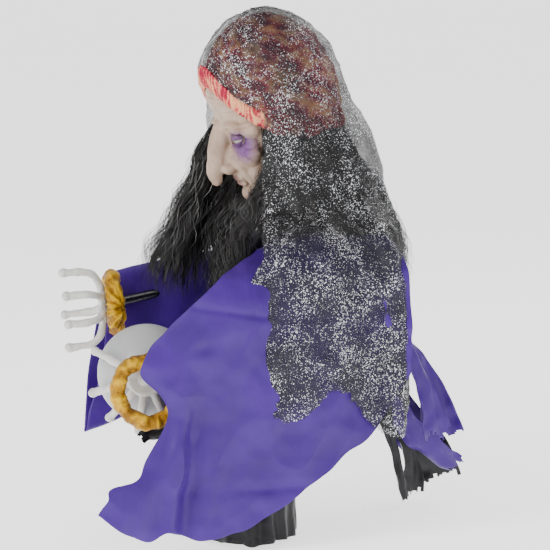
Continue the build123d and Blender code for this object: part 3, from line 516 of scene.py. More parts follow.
def eye_material(centre, forward):
    """An eye with a dark iris, a pupil and veins. forward points out of the pupil."""
    s = Shader("eye_gloss", roughness=0.08)
    s.bsdf.inputs["Coat Weight"].default_value = 0.8
    where = s.add("TexCoord")
    away = s.add("VectorMath")
    away.operation = "DISTANCE"
    away.inputs[1].default_value = tuple(centre + forward * IRIS_REACH)
    s.link(where, "Object", away, 0)
    scaled = s.math("DIVIDE", (away, "Value"), IRIS_REACH)
    rings = s.ramp(scaled, "Value", ((0.0, (0.002, 0.002, 0.002)), (0.2, (0.004, 0.003, 0.002)),
                                     (0.24, (0.07, 0.03, 0.010)), (0.58, (0.03, 0.012, 0.006)),
                                     (0.66, (0.30, 0.25, 0.20))))
    veins = s.ramp(s.noise(0.003, 6.0, 0.8), "Fac", ((0.55, (1, 1, 1)), (0.62, (0.8, 0.3, 0.25))))
    s.colour(s.mix(0.45, (rings, "Color"), (veins, "Color"), "MULTIPLY"), "Result")
    return s.material


def frosted(name):
    """Frosted white plastic of the ball."""
    s = Shader(name, roughness=0.36, subsurface_weight=0.3)
    s.bsdf.inputs["Subsurface Radius"].default_value = (1.0, 1.0, 1.0)
    s.bsdf.inputs["Subsurface Scale"].default_value = 0.006
    two_tone(s, 0.05, (0.44, 0.445, 0.45), (0.52, 0.525, 0.53))
    s.bump(s.noise(0.0012, 2.0), "Fac", 0.12, 0.0002)
    return s.material


def repaint(material, *nodes):
    """Gives carried-over CAD nodes a finished material."""
    for node in nodes:
        obj = frame["nodes"][node]
        obj.data.materials.clear()
        obj.data.materials.append(material)


PURPLE = satin("purple_satin", (0.034, 0.004, 0.155), (0.056, 0.009, 0.235))
BLACK_GAUZE = satin("black_gauze", (0.003, 0.003, 0.004), (0.014, 0.014, 0.016), 0.9)
# The lamé cloths have gold painted on their raised creases as a highlight and a dark tone painted in their hollows
# as shade.
TURBAN_LAME = lame("turban_lame", (0.24, 0.004, 0.05), (0.62, 0.04, 0.10), (1.0, 0.46, 0.20), 0.45)
BAND_LAME = lame("turban_band_lame", (0.30, 0.004, 0.04), (0.60, 0.03, 0.07), (0.90, 0.42, 0.22), 0.42)
GOLD_LAME = lame("gold_lame", (0.30, 0.13, 0.0), (0.58, 0.29, 0.0), (0.80, 0.47, 0.005), 0.40, 0.10)
VEIL = tulle("veil_tulle", 0.72)
HAIR = hair_material()
WHITE = plastic("white_hand", (0.72, 0.71, 0.68), 0.42, 0.1)
BALL = frosted("frosted_ball")


# Head ----------------------------------

EYE_CENTRES = {side: np.mean(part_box(node), axis=0) for side, node in ((1, "eye_left"), (-1, "eye_right"))}
EYE_RADIUS = (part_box("eye_left")[1][0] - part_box("eye_left")[0][0]) / 2


def lump(x, f, t, rx, rf, rt, tilt=0.0):
    """An ellipsoid of the head, in neck-frame millimetres. tilt turns it about X, in degrees."""
    work = bmesh.new()
    bmesh.ops.create_icosphere(work, subdivisions=4, radius=1)
    points = np.array([v.co[:] for v in work.verts])
    faces = [[v.index for v in face.verts] for face in work.faces]
    work.free()
    a = radians(tilt)
    f0, t0 = points[:, 1] * rf, points[:, 2] * rt
    return piece("lump", neck(x + points[:, 0] * rx, f + f0 * cos(a) - t0 * sin(a),
                              t + f0 * sin(a) + t0 * cos(a)), faces, SKIN)


def chain(stations, steps=5):
    """Lumps along a line of (x, f, t, radius) stations."""
    line = along(stations, np.linspace(0, 1, steps * (len(stations) - 1) + 1))
    return [lump(x, f, t, r, r, r) for x, f, t, r in line]


# Tints for the skin: make-up on the eyelids and lips, and painted shade in the eye sockets and under the chin.
make_up_and_painted_shade = []
for eye_side, eye_centre in EYE_CENTRES.items():
    outer = eye_centre + np.array([eye_side * 0.010, -0.004, -0.004])
    make_up_and_painted_shade.append((outer + np.array([0, 0.002, -0.008]), 0.040, (0.13, 0.03, 0.20), 0.9))
    # A near-black tint round the eyeball: painted shade in the eye socket.
    make_up_and_painted_shade.append((eye_centre, 0.022, (0.03, 0.006, 0.03), 0.9))
make_up_and_painted_shade.append((neck(0, 78, 153), 0.020, (0.20, 0.06, 0.07), 0.6))
# A brown tint under the chin and down the neck: painted shadow under the jaw.
make_up_and_painted_shade.append((neck(0, 20, 120), 0.060, (0.10, 0.055, 0.035), 0.8))
SKIN = skin_material(make_up_and_painted_shade)


def head():
    """The latex head: skull, heavy brow, cheekbones, hooked nose, thin lips, jutting chin and neck."""
    parts = [
        lump(0, -12, 262, 75, 93, 108), lump(0, 30, 186, 46, 40, 48), lump(0, 26, 150, 40, 36, 30),
        lump(0, 46, 132, 24, 20, 17, 20), lump(0, -12, 170, 48, 52, 50), lump(0, -6, 110, 44, 42, 60),
        lump(0, 60, 163, 30, 17, 15), lump(0, 69, 157, 19, 8, 3.6, -12), lump(0, 66, 147, 16, 8, 4.2, 10),
        lump(0, 58, 130, 15, 13, 13), lump(0, 50, 205, 54, 24, 46, 6), lump(0, 60, 180, 24, 20, 26),
        lump(0, 52, 275, 56, 30, 42, -24), lump(0, 64, 250, 40, 14, 13, -14),
    ]
    for side in (-1, 1):
        parts += [
            lump(side * 40, 52, 197, 19, 15, 12, 20), lump(side * 22, 69, 246, 25, 13, 8, -18),
            lump(side * 33, 65, 239, 21, 13, 8, -24),
            lump(side * 50, 48, 235, 14, 18, 16), lump(side * 13, 86, 177, 8.5, 11, 8.5, 20),
            lump(side * 30, 44, 165, 16, 18, 22, 0), lump(side * 46, 20, 160, 12, 22, 18),
        ]
        parts += chain([(side * 13, 74, 190, 7), (side * 26, 67, 168, 6), (side * 30, 58, 145, 5)], 4)
        parts += chain([(side * 20, 70, 212, 5), (side * 34, 63, 207, 5), (side * 46, 52, 211, 5)], 4)
    parts += chain([(0, 66, 250, 13), (0, 79, 236, 13), (0, 90, 216, 13.5), (0, 98, 194, 14),
                    (0, 105, 176, 12.5), (0, 105, 164, 9)])
    parts += [lump(0, 80, 190, 12, 20, 24, 20), lump(0, 76, 172, 9, 14, 8)]
    obj = join("witch_head", parts)
    modify(obj, "REMESH", mode="VOXEL", voxel_size=0.0019)
    modify(obj, "SMOOTH", factor=0.5, iterations=7)
    points = coordinates(obj)
    for side, centre in EYE_CENTRES.items():
        offset = points - centre
        away = np.linalg.norm(offset * np.array([0.85, 1, 1.25]), axis=1)
        pull = 0.0045 * np.exp(-((away / 0.018) ** 2))
        points = points - pull[:, None] * NECK_FORWARD
    f = (points - NECK_BASE) @ NECK_FORWARD / MM
    t = (points - NECK_BASE) @ NECK_UP / MM
    x = points[:, 0] / MM
    n = vertex_normals(obj)
    lines = 0.0
    for wave_number, (low, high) in enumerate(((262, 300), (236, 250))):
        zone = smooth(low, low + 6, t) * (1 - smooth(high - 6, high, t)) * smooth(30, 50, f)
        lines = lines + zone * np.sin(t * 0.75 + 0.03 * x * np.sin(x * 0.06 + wave_number))
    crow = smooth(38, 50, np.abs(x)) * np.exp(-(((t - 215) / 22) ** 2)) * np.sin(t * 0.9 + np.abs(x) * 0.25)
    jaw = np.exp(-(((t - 172) / 30) ** 2)) * smooth(20, 34, np.abs(x)) * smooth(10, 40, f)
    sag = jaw * np.sin(np.abs(x) * 0.6 + t * 0.15)
    bumps = noise(points, 0.012, 3) * 0.0007 + noise(points, 0.004, 5) * 0.00025
    points = points + n * (bumps + lines * 0.00055 + crow * 0.0005 + sag * 0.0006)[:, None]
    place(obj, points)
    return obj


witch_head = head()
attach(witch_head, "head")
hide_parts("face_mask", "head_back")


def eyelid(name, side, low, high, reach):
    """A lid over one eyeball between two angles above its middle, in degrees."""
    up = np.radians(np.linspace(low, high, 14))[:, None]
    round_ = np.radians(np.linspace(-100, 100, 34))[None, :]
    edge = np.clip(np.cos(round_ * 0.95), 0, 1) ** 0.6
    lift = up * (0.12 + 0.88 * edge)
    out = np.array([1.0, 0, 0]) * side
    direction = (np.cos(lift) * np.cos(round_))[..., None] * NECK_FORWARD
    direction = direction + (np.cos(lift) * np.sin(round_))[..., None] * out
    direction = direction + np.sin(lift)[..., None] * NECK_UP
    rise = EYE_RADIUS + reach * (1 + 0.4 * smooth(0, 1, np.linspace(0, 1, 14)))[:, None]
    points = EYE_CENTRES[side] + direction * rise[..., None]
    points = points + 0.0004 * noise(points, 0.004, 9)[..., None] * direction
    lid = surface(name, points, SKIN)
    modify(lid, "SOLIDIFY", thickness=0.0016, offset=-1)
    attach(lid, "head")


for lid_side, lid_word in ((1, "left"), (-1, "right")):
    eyelid(f"eyelid_upper_{lid_word}", lid_side, 4, 96, 0.0010)
    eyelid(f"eyelid_lower_{lid_word}", lid_side, -96, -24, 0.0008)
    gaze = NECK_FORWARD * 0.97 - NECK_UP * 0.22
    repaint(eye_material(EYE_CENTRES[lid_side], gaze), f"eye_{lid_word}")


# Turban --------------------------------

# The middle of the skull and the turban's half sizes across, forward and up, in neck-frame millimetres.
SKULL_F, SKULL_T = -12, 262
TURBAN = (85, 105, 128)


def brow_line(angle):
    """Height up the neck of the turban's lower edge, at an angle round the head from straight ahead."""
    front = np.cos(angle)
    return 206 + np.where(front > 0, 43, 14) * front + np.where(front > 0, 62, 0) * front ** 2


def turban_cloth():
    """The crinkled dome of the turban and the rolled band round its lower edge."""
    round_ = circle(240)[None, :]
    rise = np.linspace(0, 1, 90)[:, None]
    start = np.arcsin(np.clip((brow_line(round_) - SKULL_T) / TURBAN[2], -0.9, 0.9))
    lift = start + (pi / 2 - start) * rise
    x = TURBAN[0] * np.cos(lift) * np.sin(round_)
    f = SKULL_F + TURBAN[1] * np.cos(lift) * np.cos(round_)
    t = SKULL_T + TURBAN[2] * np.sin(lift)
    points = neck(x, f, t)
    out = points - neck(0, SKULL_F, SKULL_T)
    out = out / np.linalg.norm(out, axis=2, keepdims=True)
    swirl = round_ * 2 + 5.5 * rise + 0.8 * noise(points, 0.06, 1)
    folds = 0.5 * np.sin(3 * swirl) + 0.35 * np.sin(7 * swirl + 2.5 * noise(points, 0.04, 2))
    crinkle = noise(points * [1, 1, 2.2], 0.014, 4) + 0.5 * noise(points, 0.006, 6)
    depth = 0.0030 * folds * np.clip(np.cos(lift), 0, 1) ** 0.5 + 0.0018 * crinkle
    points = points + (depth - 0.001)[..., None] * out
    dome = surface("turban_dome", points, TURBAN_LAME, closed=True)
    # The crease height colours the lamé: raised folds painted gold as a highlight, hollows painted dark as shade.
    mark_crease_shading(dome, 0.5 + 0.28 * folds + 0.3 * crinkle)
    modify(dome, "SOLIDIFY", thickness=LAME_THICK, offset=-1)

    along_band = circle(600)[None, :]
    turn = circle(36)[:, None]
    edge = brow_line(along_band)
    wide = 15 + 2 * np.cos(along_band) + 1.5 * np.sin(along_band * 5)
    thick = 5.0 + 1.0 * np.sin(along_band * 7 + 1)
    middle = edge + 11
    ring_lift = np.arcsin(np.clip((middle - SKULL_T) / TURBAN[2], -0.9, 0.9))
    outward = TURBAN[0] * np.cos(ring_lift) + 1 + thick * np.cos(turn)
    outward_f = TURBAN[1] * np.cos(ring_lift) + 1 + thick * np.cos(turn)
    x = outward * np.sin(along_band)
    f = SKULL_F + outward_f * np.cos(along_band)
    t = middle + wide * np.sin(turn)
    points = neck(x, f, t)
    core = neck((TURBAN[0] * np.cos(ring_lift)) * np.sin(along_band),
                SKULL_F + TURBAN[1] * np.cos(ring_lift) * np.cos(along_band), middle)
    away = points - core
    n = away / np.linalg.norm(away, axis=2, keepdims=True)
    twist = np.sin(along_band * 29 + 1.2 * np.sin(turn) + 5.0 * noise(points, 0.025, 7))
    cross = np.sin(along_band * 97 - 1.5 * np.sin(turn) + 7 * noise(points, 0.018, 8))
    points = points + (0.0012 * twist + 0.0009 * cross + 0.0007 * noise(points, 0.005, 9))[..., None] * n
    rows, columns = points.shape[:2]
    faces = []
    for r in range(rows):
        for c in range(columns):
            s, d = (r + 1) % rows, (c + 1) % columns
            faces.append((r * columns + c, s * columns + c, s * columns + d, r * columns + d))
    band = piece("turban_band", points, faces, BAND_LAME, points[..., 1:])
    patches = noise(points, 0.03, 10)
    # Crease height and random patches colour the band: raised crinkles painted gold as a highlight, hollows
    # painted dark as shade, and the patches the cloth's own mix of gold and crimson.
    mark_crease_shading(band, 0.55 + 0.09 * twist + 0.16 * cross + 0.40 * patches + 0.12 * noise(points, 0.004, 14))
    for obj in (dome, band):
        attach(obj, "head")
    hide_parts("turban")
    return dome


turban_dome = turban_cloth()


# Hair ----------------------------------


# A strand's width, the size of its waves, both in millimetres, and its points.
STRAND_WIDTH, STRAND_WAVE, STRAND_STEPS = 0.9, 6.0, 26


def strands(name, guides, count, seed, spread):
    """Flat hair strands that follow guide lines in the row frame, with waves that grow to the ends."""
    rng = np.random.default_rng(seed)
    t = np.linspace(0, 1, STRAND_STEPS)
    points, faces = [], []
    for _ in range(count):
        pick = rng.random() * (len(guides) - 1)
        low = int(pick)
        share = pick - low
        line = (1 - share) * along(guides[low], t) + share * along(guides[low + 1], t)
        line = line + rng.normal(0, 1, 3) * spread * MM * (0.35 + 0.9 * t[:, None])
        lock = int(pick * 9) * 1.7
        phase, pitch = lock + rng.normal(0, 0.5), 4.2 + 0.8 * sin(lock)
        size = STRAND_WAVE * MM * rng.uniform(0.6, 1.5) * smooth(0, 0.5, t)
        line[:, 0] += size * np.sin(phase + 2 * pi * pitch * t)
        line[:, 1] += size * np.cos(phase + 2 * pi * pitch * t * 0.9)
        line = line[: max(6, int(STRAND_STEPS * rng.uniform(0.72, 1.0)))]
        turn = rng.random() * pi
        flat = np.array([cos(turn), sin(turn), 0.0])
        taper = (1 - np.linspace(0, 1, len(line)) ** 3)[:, None] + 0.08
        half = 0.5 * STRAND_WIDTH * MM * rng.uniform(0.6, 1.2) * taper
        start = len(points) * 2
        for left, right in zip(line - flat * half, line + flat * half):
            points += [(left, right)]
        faces += [(a, a + 1, a + 3, a + 2) for a in range(start, start + 2 * len(line) - 2, 2)]
    return piece(name, np.array(points).reshape(-1, 3), faces, HAIR)


def guide(root, *rest):
    """A guide line from a root in the neck frame through chest-frame points."""
    return [neck(*root)] + [chest(*point) for point in rest]


FAR_FRONT = [
    guide((-58, 40, 266), (-74, -118, 560), (-70, -146, 470), (-66, -176, 390), (-70, -186, 330)),
    guide((-66, 30, 258), (-84, -124, 575), (-86, -160, 490), (-84, -212, 410), (-92, -222, 352)),
    guide((-70, 20, 250), (-90, -100, 560), (-94, -136, 480), (-90, -182, 400), (-92, -190, 336)),
    guide((-72, 10, 245), (-94, -72, 550), (-98, -112, 470), (-92, -150, 390), (-88, -160, 320)),
    guide((-76, -8, 236), (-98, -48, 545), (-108, -80, 475), (-116, -112, 400), (-112, -120, 345)),
]
MIDDLE_FRONT = [
    guide((-60, 28, 250), (-66, -82, 540), (-54, -120, 460), (-44, -130, 380), (-38, -126, 320)),
    guide((-40, 10, 150), (-34, -78, 510), (-22, -112, 450), (-16, -122, 380), (-10, -122, 320)),
    guide((0, 0, 120), (4, -66, 500), (10, -104, 440), (12, -118, 380), (16, -122, 320)),
    guide((40, 10, 150), (38, -78, 510), (36, -112, 450), (38, -126, 380), (42, -128, 320)),
    guide((60, 28, 250), (70, -76, 540), (66, -112, 460), (66, -126, 380), (68, -124, 320)),
]
NEAR_FRONT = [
    guide((62, 26, 256), (82, -84, 560), (88, -116, 500), (96, -128, 462), (104, -130, 452)),
    guide((70, 16, 250), (90, -68, 555), (98, -96, 500), (108, -108, 466), (118, -110, 458)),
    guide((75, 0, 240), (96, -46, 550), (104, -66, 500), (112, -76, 468), (124, -84, 460)),
    guide((77, -20, 228), (98, -22, 545), (106, -30, 500), (116, -36, 470), (128, -44, 462)),
]
BACK = [
    guide((77, -20, 228), (98, -16, 545), (108, -10, 490), (122, 6, 466), (136, 20, 462)),
    guide((70, -62, 206), (84, 44, 550), (96, 92, 490), (112, 118, 440), (120, 128, 380)),
    guide((40, -92, 196), (46, 74, 560), (50, 112, 500), (54, 136, 430), (60, 150, 350)),
    guide((0, -104, 190), (0, 84, 565), (0, 122, 500), (0, 146, 430), (0, 160, 350)),
    guide((-40, -92, 196), (-46, 74, 560), (-50, 112, 500), (-54, 136, 430), (-60, 150, 350)),
    guide((-70, -62, 206), (-84, 44, 550), (-92, 84, 490), (-98, 104, 440), (-104, 112, 380)),
    guide((-77, -20, 228), (-98, -16, 545), (-106, -4, 490), (-114, 6, 460), (-122, 14, 430)),
]
HAIR_SETS = (
    ("hair_far_front", FAR_FRONT, 1700, 7.0),
    ("hair_middle_front", MIDDLE_FRONT, 1500, 7.0),
    ("hair_near_front", NEAR_FRONT, 1100, 4.5),
    ("hair_back", BACK, 2600, 5.0),
)
# Two points up the neck line, 190 and 60 millimetres from its base.
HAIR_ROOT, HAIR_TIP = tuple(neck(0, 0, 190)), tuple(neck(0, 0, 60))


HAIR_SHEET_DEPTH = 3.0 * MM


def hair_sheet(name, guides):
    """A dense inner layer of hair, as a rippled surface under the loose strands."""
    t = np.linspace(0, 0.94, 60)
    lines = np.array([along(g, t) for g in guides])
    across = np.linspace(0, 1, 150)
    points = np.stack([along(lines[:, k], across) for k in range(len(t))])
    n = normals(points)
    ripple = noise(points * [1, 1, 0.12], 0.004, 11) + 0.7 * noise(points * [1, 1, 0.2], 0.012, 12)
    points = points + n * (0.0018 * ripple)[..., None]
    ragged = 0.86 + 0.13 * noise_on(across * 0.5, 0.01, 13)
    keep = t[:, None] < ragged[None, :]
    middle = np.array([0, CHEST_Y - 0.02, 0])
    inward = (middle - points) * np.array([1, 1, 0])
    inward = inward / (np.linalg.norm(inward, axis=2, keepdims=True) + 1e-9)
    return surface(name, points + inward * HAIR_SHEET_DEPTH, HAIR, keep=keep)


hair_pieces = []
for set_number, (hair_name, hair_guides, hair_count, hair_spread) in enumerate(HAIR_SETS):
    hair_pieces.append(strands(hair_name, hair_guides, hair_count, 40 + set_number, hair_spread))
    hair_pieces.append(hair_sheet(hair_name + "_base", hair_guides))
for hair_piece in hair_pieces:
    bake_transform(hair_piece)
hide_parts("wig", "hair_fall")


# Veil ----------------------------------

VEIL_START, VEIL_END = radians(-89), radians(269)


def veil_ring(turn, level):
    """Points round one level of the veil. A level is (kind, height, half width, back, front, squareness)."""
    kind, height, wide, back, front, square = level
    c, s = np.cos(turn), np.sin(turn)
    power = 2 / square
    x = wide * np.sign(c) * np.abs(c) ** power
    x = x * (1.0 if kind == "neck" else np.where(c < 0, 0.70, 1.0))
    depth = np.where(s > 0, back, front) * np.sign(s) * np.abs(s) ** power
    if kind == "neck":
        return neck(x, SKULL_F - depth, height)
    return chest(x, depth, height)


VEIL_LEVELS = [
    ("neck", SKULL_T + 136 * sin(a), 92 * cos(a) + 1, 111 * cos(a) + 1, 112 * cos(a) + 1, 2.0)
    for a in map(radians, (89, 72, 56, 40, 24, 8))
]
VEIL_LEVELS += [
    ("neck", 232, 98, 116, 112, 2.1),
    ("neck", 196, 106, 124, 112, 2.2),
    ("neck", 160, 114, 134, 112, 2.3),
    ("chest", 505, 138, 122, 118, 2.5),
    ("chest", 468, 178, 126, 142, 3.0),
    ("chest", 430, 203, 128, 170, 3.4),
    ("chest", 380, 211, 130, 190, 3.6),
    ("chest", 310, 214, 131, 196, 3.6),
    ("chest", 240, 215, 131, 196, 3.6),
    ("chest", 160, 216, 131, 196, 3.6),
]


def veil_front(z, near):
    """How far forward the veil reaches at a height, as chest-frame y, on its near or far side."""
    near_edge = np.interp(z, [150, 380, 440, 520, 640, 700], [-172, -166, -124, -94, -92, -101])
    far_edge = np.interp(z, [420, 470, 565, 655, 700], [-60, -158, -152, -122, -118])
    return np.where(near, near_edge, far_edge)


def veil_hem(y, turn):
    """Height of the veil's ragged hem at a place along its side, in chest millimetres."""
    lobes = along([[236], [205], [196], [238], [166], [160], [186], [212]], np.clip((y + 170) / 350, 0, 1))
    lobes = lobes[..., 0]
    round_back = smooth(radians(80), radians(100), turn)
    far = 215 + 95 * smooth(radians(120), radians(185), turn)
    return lobes * (1 - round_back) + far * round_back


def veil():
    """One sheet of glittered tulle from the crown over the shoulders, in folds that deepen downward."""
    turn = np.linspace(VEIL_START, VEIL_END, 560)
    stations = np.array([veil_ring(turn, level) for level in VEIL_LEVELS])
    t = np.linspace(0, 1, 360)
    points = np.stack([along(stations[:, c], t) for c in range(len(turn))], axis=1)
    n = normals(points)
    down = t[:, None]
    phase = turn[None, :] * 9 + 2.2 * noise(points * [1, 1, 0.3], 0.09, 21)
    folds = np.sin(phase) + 0.5 * np.sin(2.3 * phase + 1.3)
    depth = 0.0016 + 0.0085 * smooth(0.35, 0.9, down)
    crumple = 0.0030 * noise(points, 0.026, 22) + 0.0014 * noise(points, 0.009, 23)
    points = points + n * (depth * folds * 0.6 + crumple)[..., None]
    z = points[..., 2] / MM
    y = (points[..., 1] - CHEST_Y) / MM
    ragged = 5 * noise(points * [1, 1, 0], 0.012, 24)
    x = points[..., 0] / MM
    level = ((points - NECK_BASE) @ NECK_UP) / MM
    ahead = ((points - NECK_BASE) @ NECK_FORWARD) / MM
    round_head = np.arctan2(x / TURBAN[0], (ahead - SKULL_F) / TURBAN[1])
    over_band = level > brow_line(round_head) + 27 + 2 * noise(points, 0.02, 25)
    front = veil_front(z, x > 0) + 3 * noise(points, 0.015, 26)
    low_enough = level < brow_line(round_head) + 45
    at_side = (y > front) & low_enough & (np.abs(x) > 45)
    above_hem = z > veil_hem(y, turn[None, :]) + ragged
    return surface("glitter_veil", points, VEIL, keep=above_hem & (over_band | at_side | (y > 0)))


glitter_veil = veil()
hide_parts("veil_crown", "veil_drape")
tuple(neck(0, 0, 200))
tuple(neck(0, 0, 60))
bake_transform(glitter_veil)


# Robe ----------------------------------


def coons(top, bottom, left, right, rows, columns):
    """A grid that fills four edge lines of two-number points."""
    u = np.linspace(0, 1, columns)
    v = np.linspace(0, 1, rows)
    t, b = along(top, u)[None, :, :], along(bottom, u)[None, :, :]
    l, r = along(left, v)[:, None, :], along(right, v)[:, None, :]
    uu, vv = u[None, :, None], v[:, None, None]
    corners = (1 - uu) * (1 - vv) * t[:, :1] + uu * (1 - vv) * t[:, -1:]
    corners = corners + (1 - uu) * vv * b[:, :1] + uu * vv * b[:, -1:]
    return (1 - vv) * t + vv * b + (1 - uu) * l + uu * r - corners


# Front view line from the neck over the near shoulder and down, as (x, z), and the length along it.
CAPE_LINE = np.array([(50, 456), (90, 457), (130, 451), (168, 434), (190, 406), (198, 360),
                      (200, 200), (200, 10)], float)


def over_shoulder(s):
    """(x, z) at a distance s, in millimetres, along the shoulder line."""
    fine = along(CAPE_LINE, np.linspace(0, 1, 400))
    run = np.concatenate([[0], np.cumsum(np.linalg.norm(np.diff(fine, axis=0), axis=1))])
    return np.interp(s, run, fine[:, 0]), np.interp(s, run, fine[:, 1])


# Stretches noise into slanting lumps, for the cape's sharp creases.
TILTED = np.array([[1.0, 0, 0], [0, 0.9, 0.35], [0, -0.55, 0.55]])


def near_cape():
    """The near sleeve and cape panel: satin over the shoulder that flares to a pointed hem."""
    top = [(-62, 0), (-20, -4), (40, 0), (78, 6)]
    left = [(-62, 0), (-120, 70), (-185, 126), (-240, 172), (-282, 218), (-320, 283), (-290, 318),
            (-278, 345), (-286, 370), (-313, 412), (-324, 436), (-350, 446), (-374, 452), (-376, 466), (-391, 490)]
    right = [(78, 6), (98, 110), (104, 220), (102, 310)]
    bottom = [(-391, 490), (-354, 516), (-309, 537), (-282, 522), (-262, 530), (-226, 540), (-170, 533),
              (-97, 495), (-8, 431), (58, 374), (102, 310)]
    flat = coons(top, bottom, left, right, 220, 260)
    y, s = flat[..., 0], flat[..., 1]
    x, z = over_shoulder(s)
    z = z - 17 * smooth(-30, -100, y) * (1 - smooth(150, 260, s))
    points = chest(x, y, z)
    u = np.linspace(0, 1, 260)[None, :]
    v = np.linspace(0, 1, 220)[:, None]
    fan = (y + 40) / (s + 60)
    wobble = 0.35 * noise(points, 0.07, 31)
    folds = 0.9 * np.sin(fan * 8.5 + wobble * 3 + 0.6) + 0.5 * np.sin(fan * 19 + wobble * 5)
    grow = smooth(120, 420, s)
    ridge = np.exp(-(((y + 262 + 0.12 * (s - 380)) / 13) ** 2)) * smooth(300, 380, s)
    valley = np.exp(-(((y + 236 + 0.10 * (s - 380)) / 15) ** 2)) * smooth(300, 390, s)
    seat = np.exp(-(((s - 470) / 9) ** 2)) * smooth(-190, -150, y) * (1 - smooth(-70, -30, y))
    pull = np.hypot(y + 262, (s - 262) * 0.9)
    rays = np.sin(np.arctan2(s - 262, y + 262) * 5 + wobble * 5)
    star = np.exp(-((pull / 80) ** 2)) * smooth(8, 45, pull) * rays
    crease = np.exp(-(((s - 178 - 0.25 * (y + 200) + 18 * wobble) / 7) ** 2)) * smooth(-260, -220, y)
    depth = 8.5 * grow * folds * 0.6 + 11 * ridge - 9 * valley - 5 * seat + 3.0 * star - 2.5 * crease
    wrinkle = 1 - np.abs(noise(points * [1, 1, 0.6], 0.045, 35)) * 2
    sharp = 1 - np.abs(noise(points @ TILTED, 0.055, 36)) * 2
    depth = depth + 1.6 * wrinkle + 4.2 * sharp * smooth(20, 160, s)
    depth = depth + 3.2 * noise(points * [1, 1, 0.7], 0.05, 32) + 1.3 * noise(points, 0.02, 33)
    inward = smooth(0.90, 1.0, 1 - u) * smooth(150, 230, s) * (1 - smooth(420, 470, s))
    depth = np.clip(depth, -9 - 6 * smooth(380, 460, s), 11)
    n = normals(points)
    if n[..., 0].mean() < 0:
        n = n * np.where(n[..., :1] < 0, -1, 1)
    points = points + n * (depth * MM)[..., None]
    points[..., 0] -= 0.010 * inward
    points[..., 2] += 0.004 * noise(points, 0.03, 34) * v
    obj = surface("near_cape", points, PURPLE)
    modify(obj, "SOLIDIFY", thickness=SATIN_THICK, offset=0)
    return obj


near_cape_cloth = near_cape()
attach(near_cape_cloth, "stand")
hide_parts("cape_left")


ARMHOLE_RADIUS = 31


def tube(sections, columns, rows):
    """(points, outward directions, 1 at the bottom to 0 at the top) of a tube through oval sections.

    A section is (height, half width, half depth, middle) in chest-frame millimetres, from the bottom up.
    """
    turn = circle(columns)
    c, s = np.cos(turn), np.sin(turn)
    levels = np.array([np.stack([wide * c, middle + deep * s, np.full_like(turn, z)], axis=-1)
                       for z, wide, deep, middle in sections])
    t = np.linspace(0, 1, rows)
    mm = np.stack([along(levels[:, c], t) for c in range(columns)], axis=1)
    out = np.stack([c, s, np.zeros_like(turn)], axis=-1)[None]
    return chest(mm[..., 0], mm[..., 1], mm[..., 2]), out, 1 - t[:, None]


def dress():
    """The fitted satin bodice under the cape, gathered into soft vertical folds."""
    sections = [(152, 119, 90, -8), (190, 119, 87, -6), (300, 145, 92, 6), (380, 155, 86, 1),
                (412, 152, 78, 0), (432, 116, 64, 0), (445, 62, 52, 0)]
    points, out, low = tube(sections, 300, 120)
    folds = np.sin(circle(300) * 15 + 2 * noise(points * [1, 1, 0.2], 0.08, 41))
    depth = 0.0008 + (0.0030 * low + 0.0006) * folds + 0.0012 * noise(points, 0.03, 42)
    points = points + out * depth[..., None]
    mm_x, mm_z = points[..., 0] / MM, points[..., 2] / MM
    mm_y = (points[..., 1] - CHEST_Y) / MM
    hole = (np.hypot(mm_y, mm_z - SHOULDER_Z) < ARMHOLE_RADIUS) & (np.abs(mm_x) > 100)
    obj = surface("dress_cloth", points, PURPLE, closed=True, keep=~hole)
    modify(obj, "SOLIDIFY", thickness=SATIN_THICK, offset=1)
    return obj


dress_cloth = dress()
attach(dress_cloth, "stand")
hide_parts("dress_body")


def far_sleeve():
    """The right bell sleeve: a flattened tube round the forearm that hangs to a pointed hem."""
    turn = circle(200)[None, :]
    v = np.linspace(0, 1, 90)[:, None]
    top = along([(-30, 402), (-100, 388), (-180, 380), (-248, 372)], v[:, 0])
    bottom = along([(-30, 344), (-120, 236), (-205, 158), (-292, 122)], v[:, 0])
    c, s = np.cos(turn), np.sin(turn)
    share = (1 + s) / 2
    y = bottom[:, None, 0] * (1 - share) + top[:, None, 0] * share
    z = bottom[:, None, 1] * (1 - share) + top[:, None, 1] * share
    half = (10 + 26 * smooth(0, 0.5, v)) * (0.35 + 0.65 * share ** 0.6)
    x = -178 + 8 * v + half * c
    points = chest(x, y, z)
    n = normals(points)
    folds = np.sin(v * 3 + turn * 5 + 2 * noise(points, 0.06, 51))
    points = points + n * (0.0034 * folds * smooth(0.1, 0.8, v) + 0.0016 * noise(points, 0.03, 52))[..., None]
    obj = surface("far_sleeve", points, PURPLE, closed=True)
    modify(obj, "SOLIDIFY", thickness=SATIN_THICK, offset=0)
    return obj


far_sleeve_cloth = far_sleeve()
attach(far_sleeve_cloth, "right_arm")
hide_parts("sleeve_right")


# A strip's mean cut width over its drawn width, its twist in radians, and how ragged its end is.
CUT_SHARE, STRIP_TWIST, STRIP_RAGGED = 0.85, 0.6, 0.02


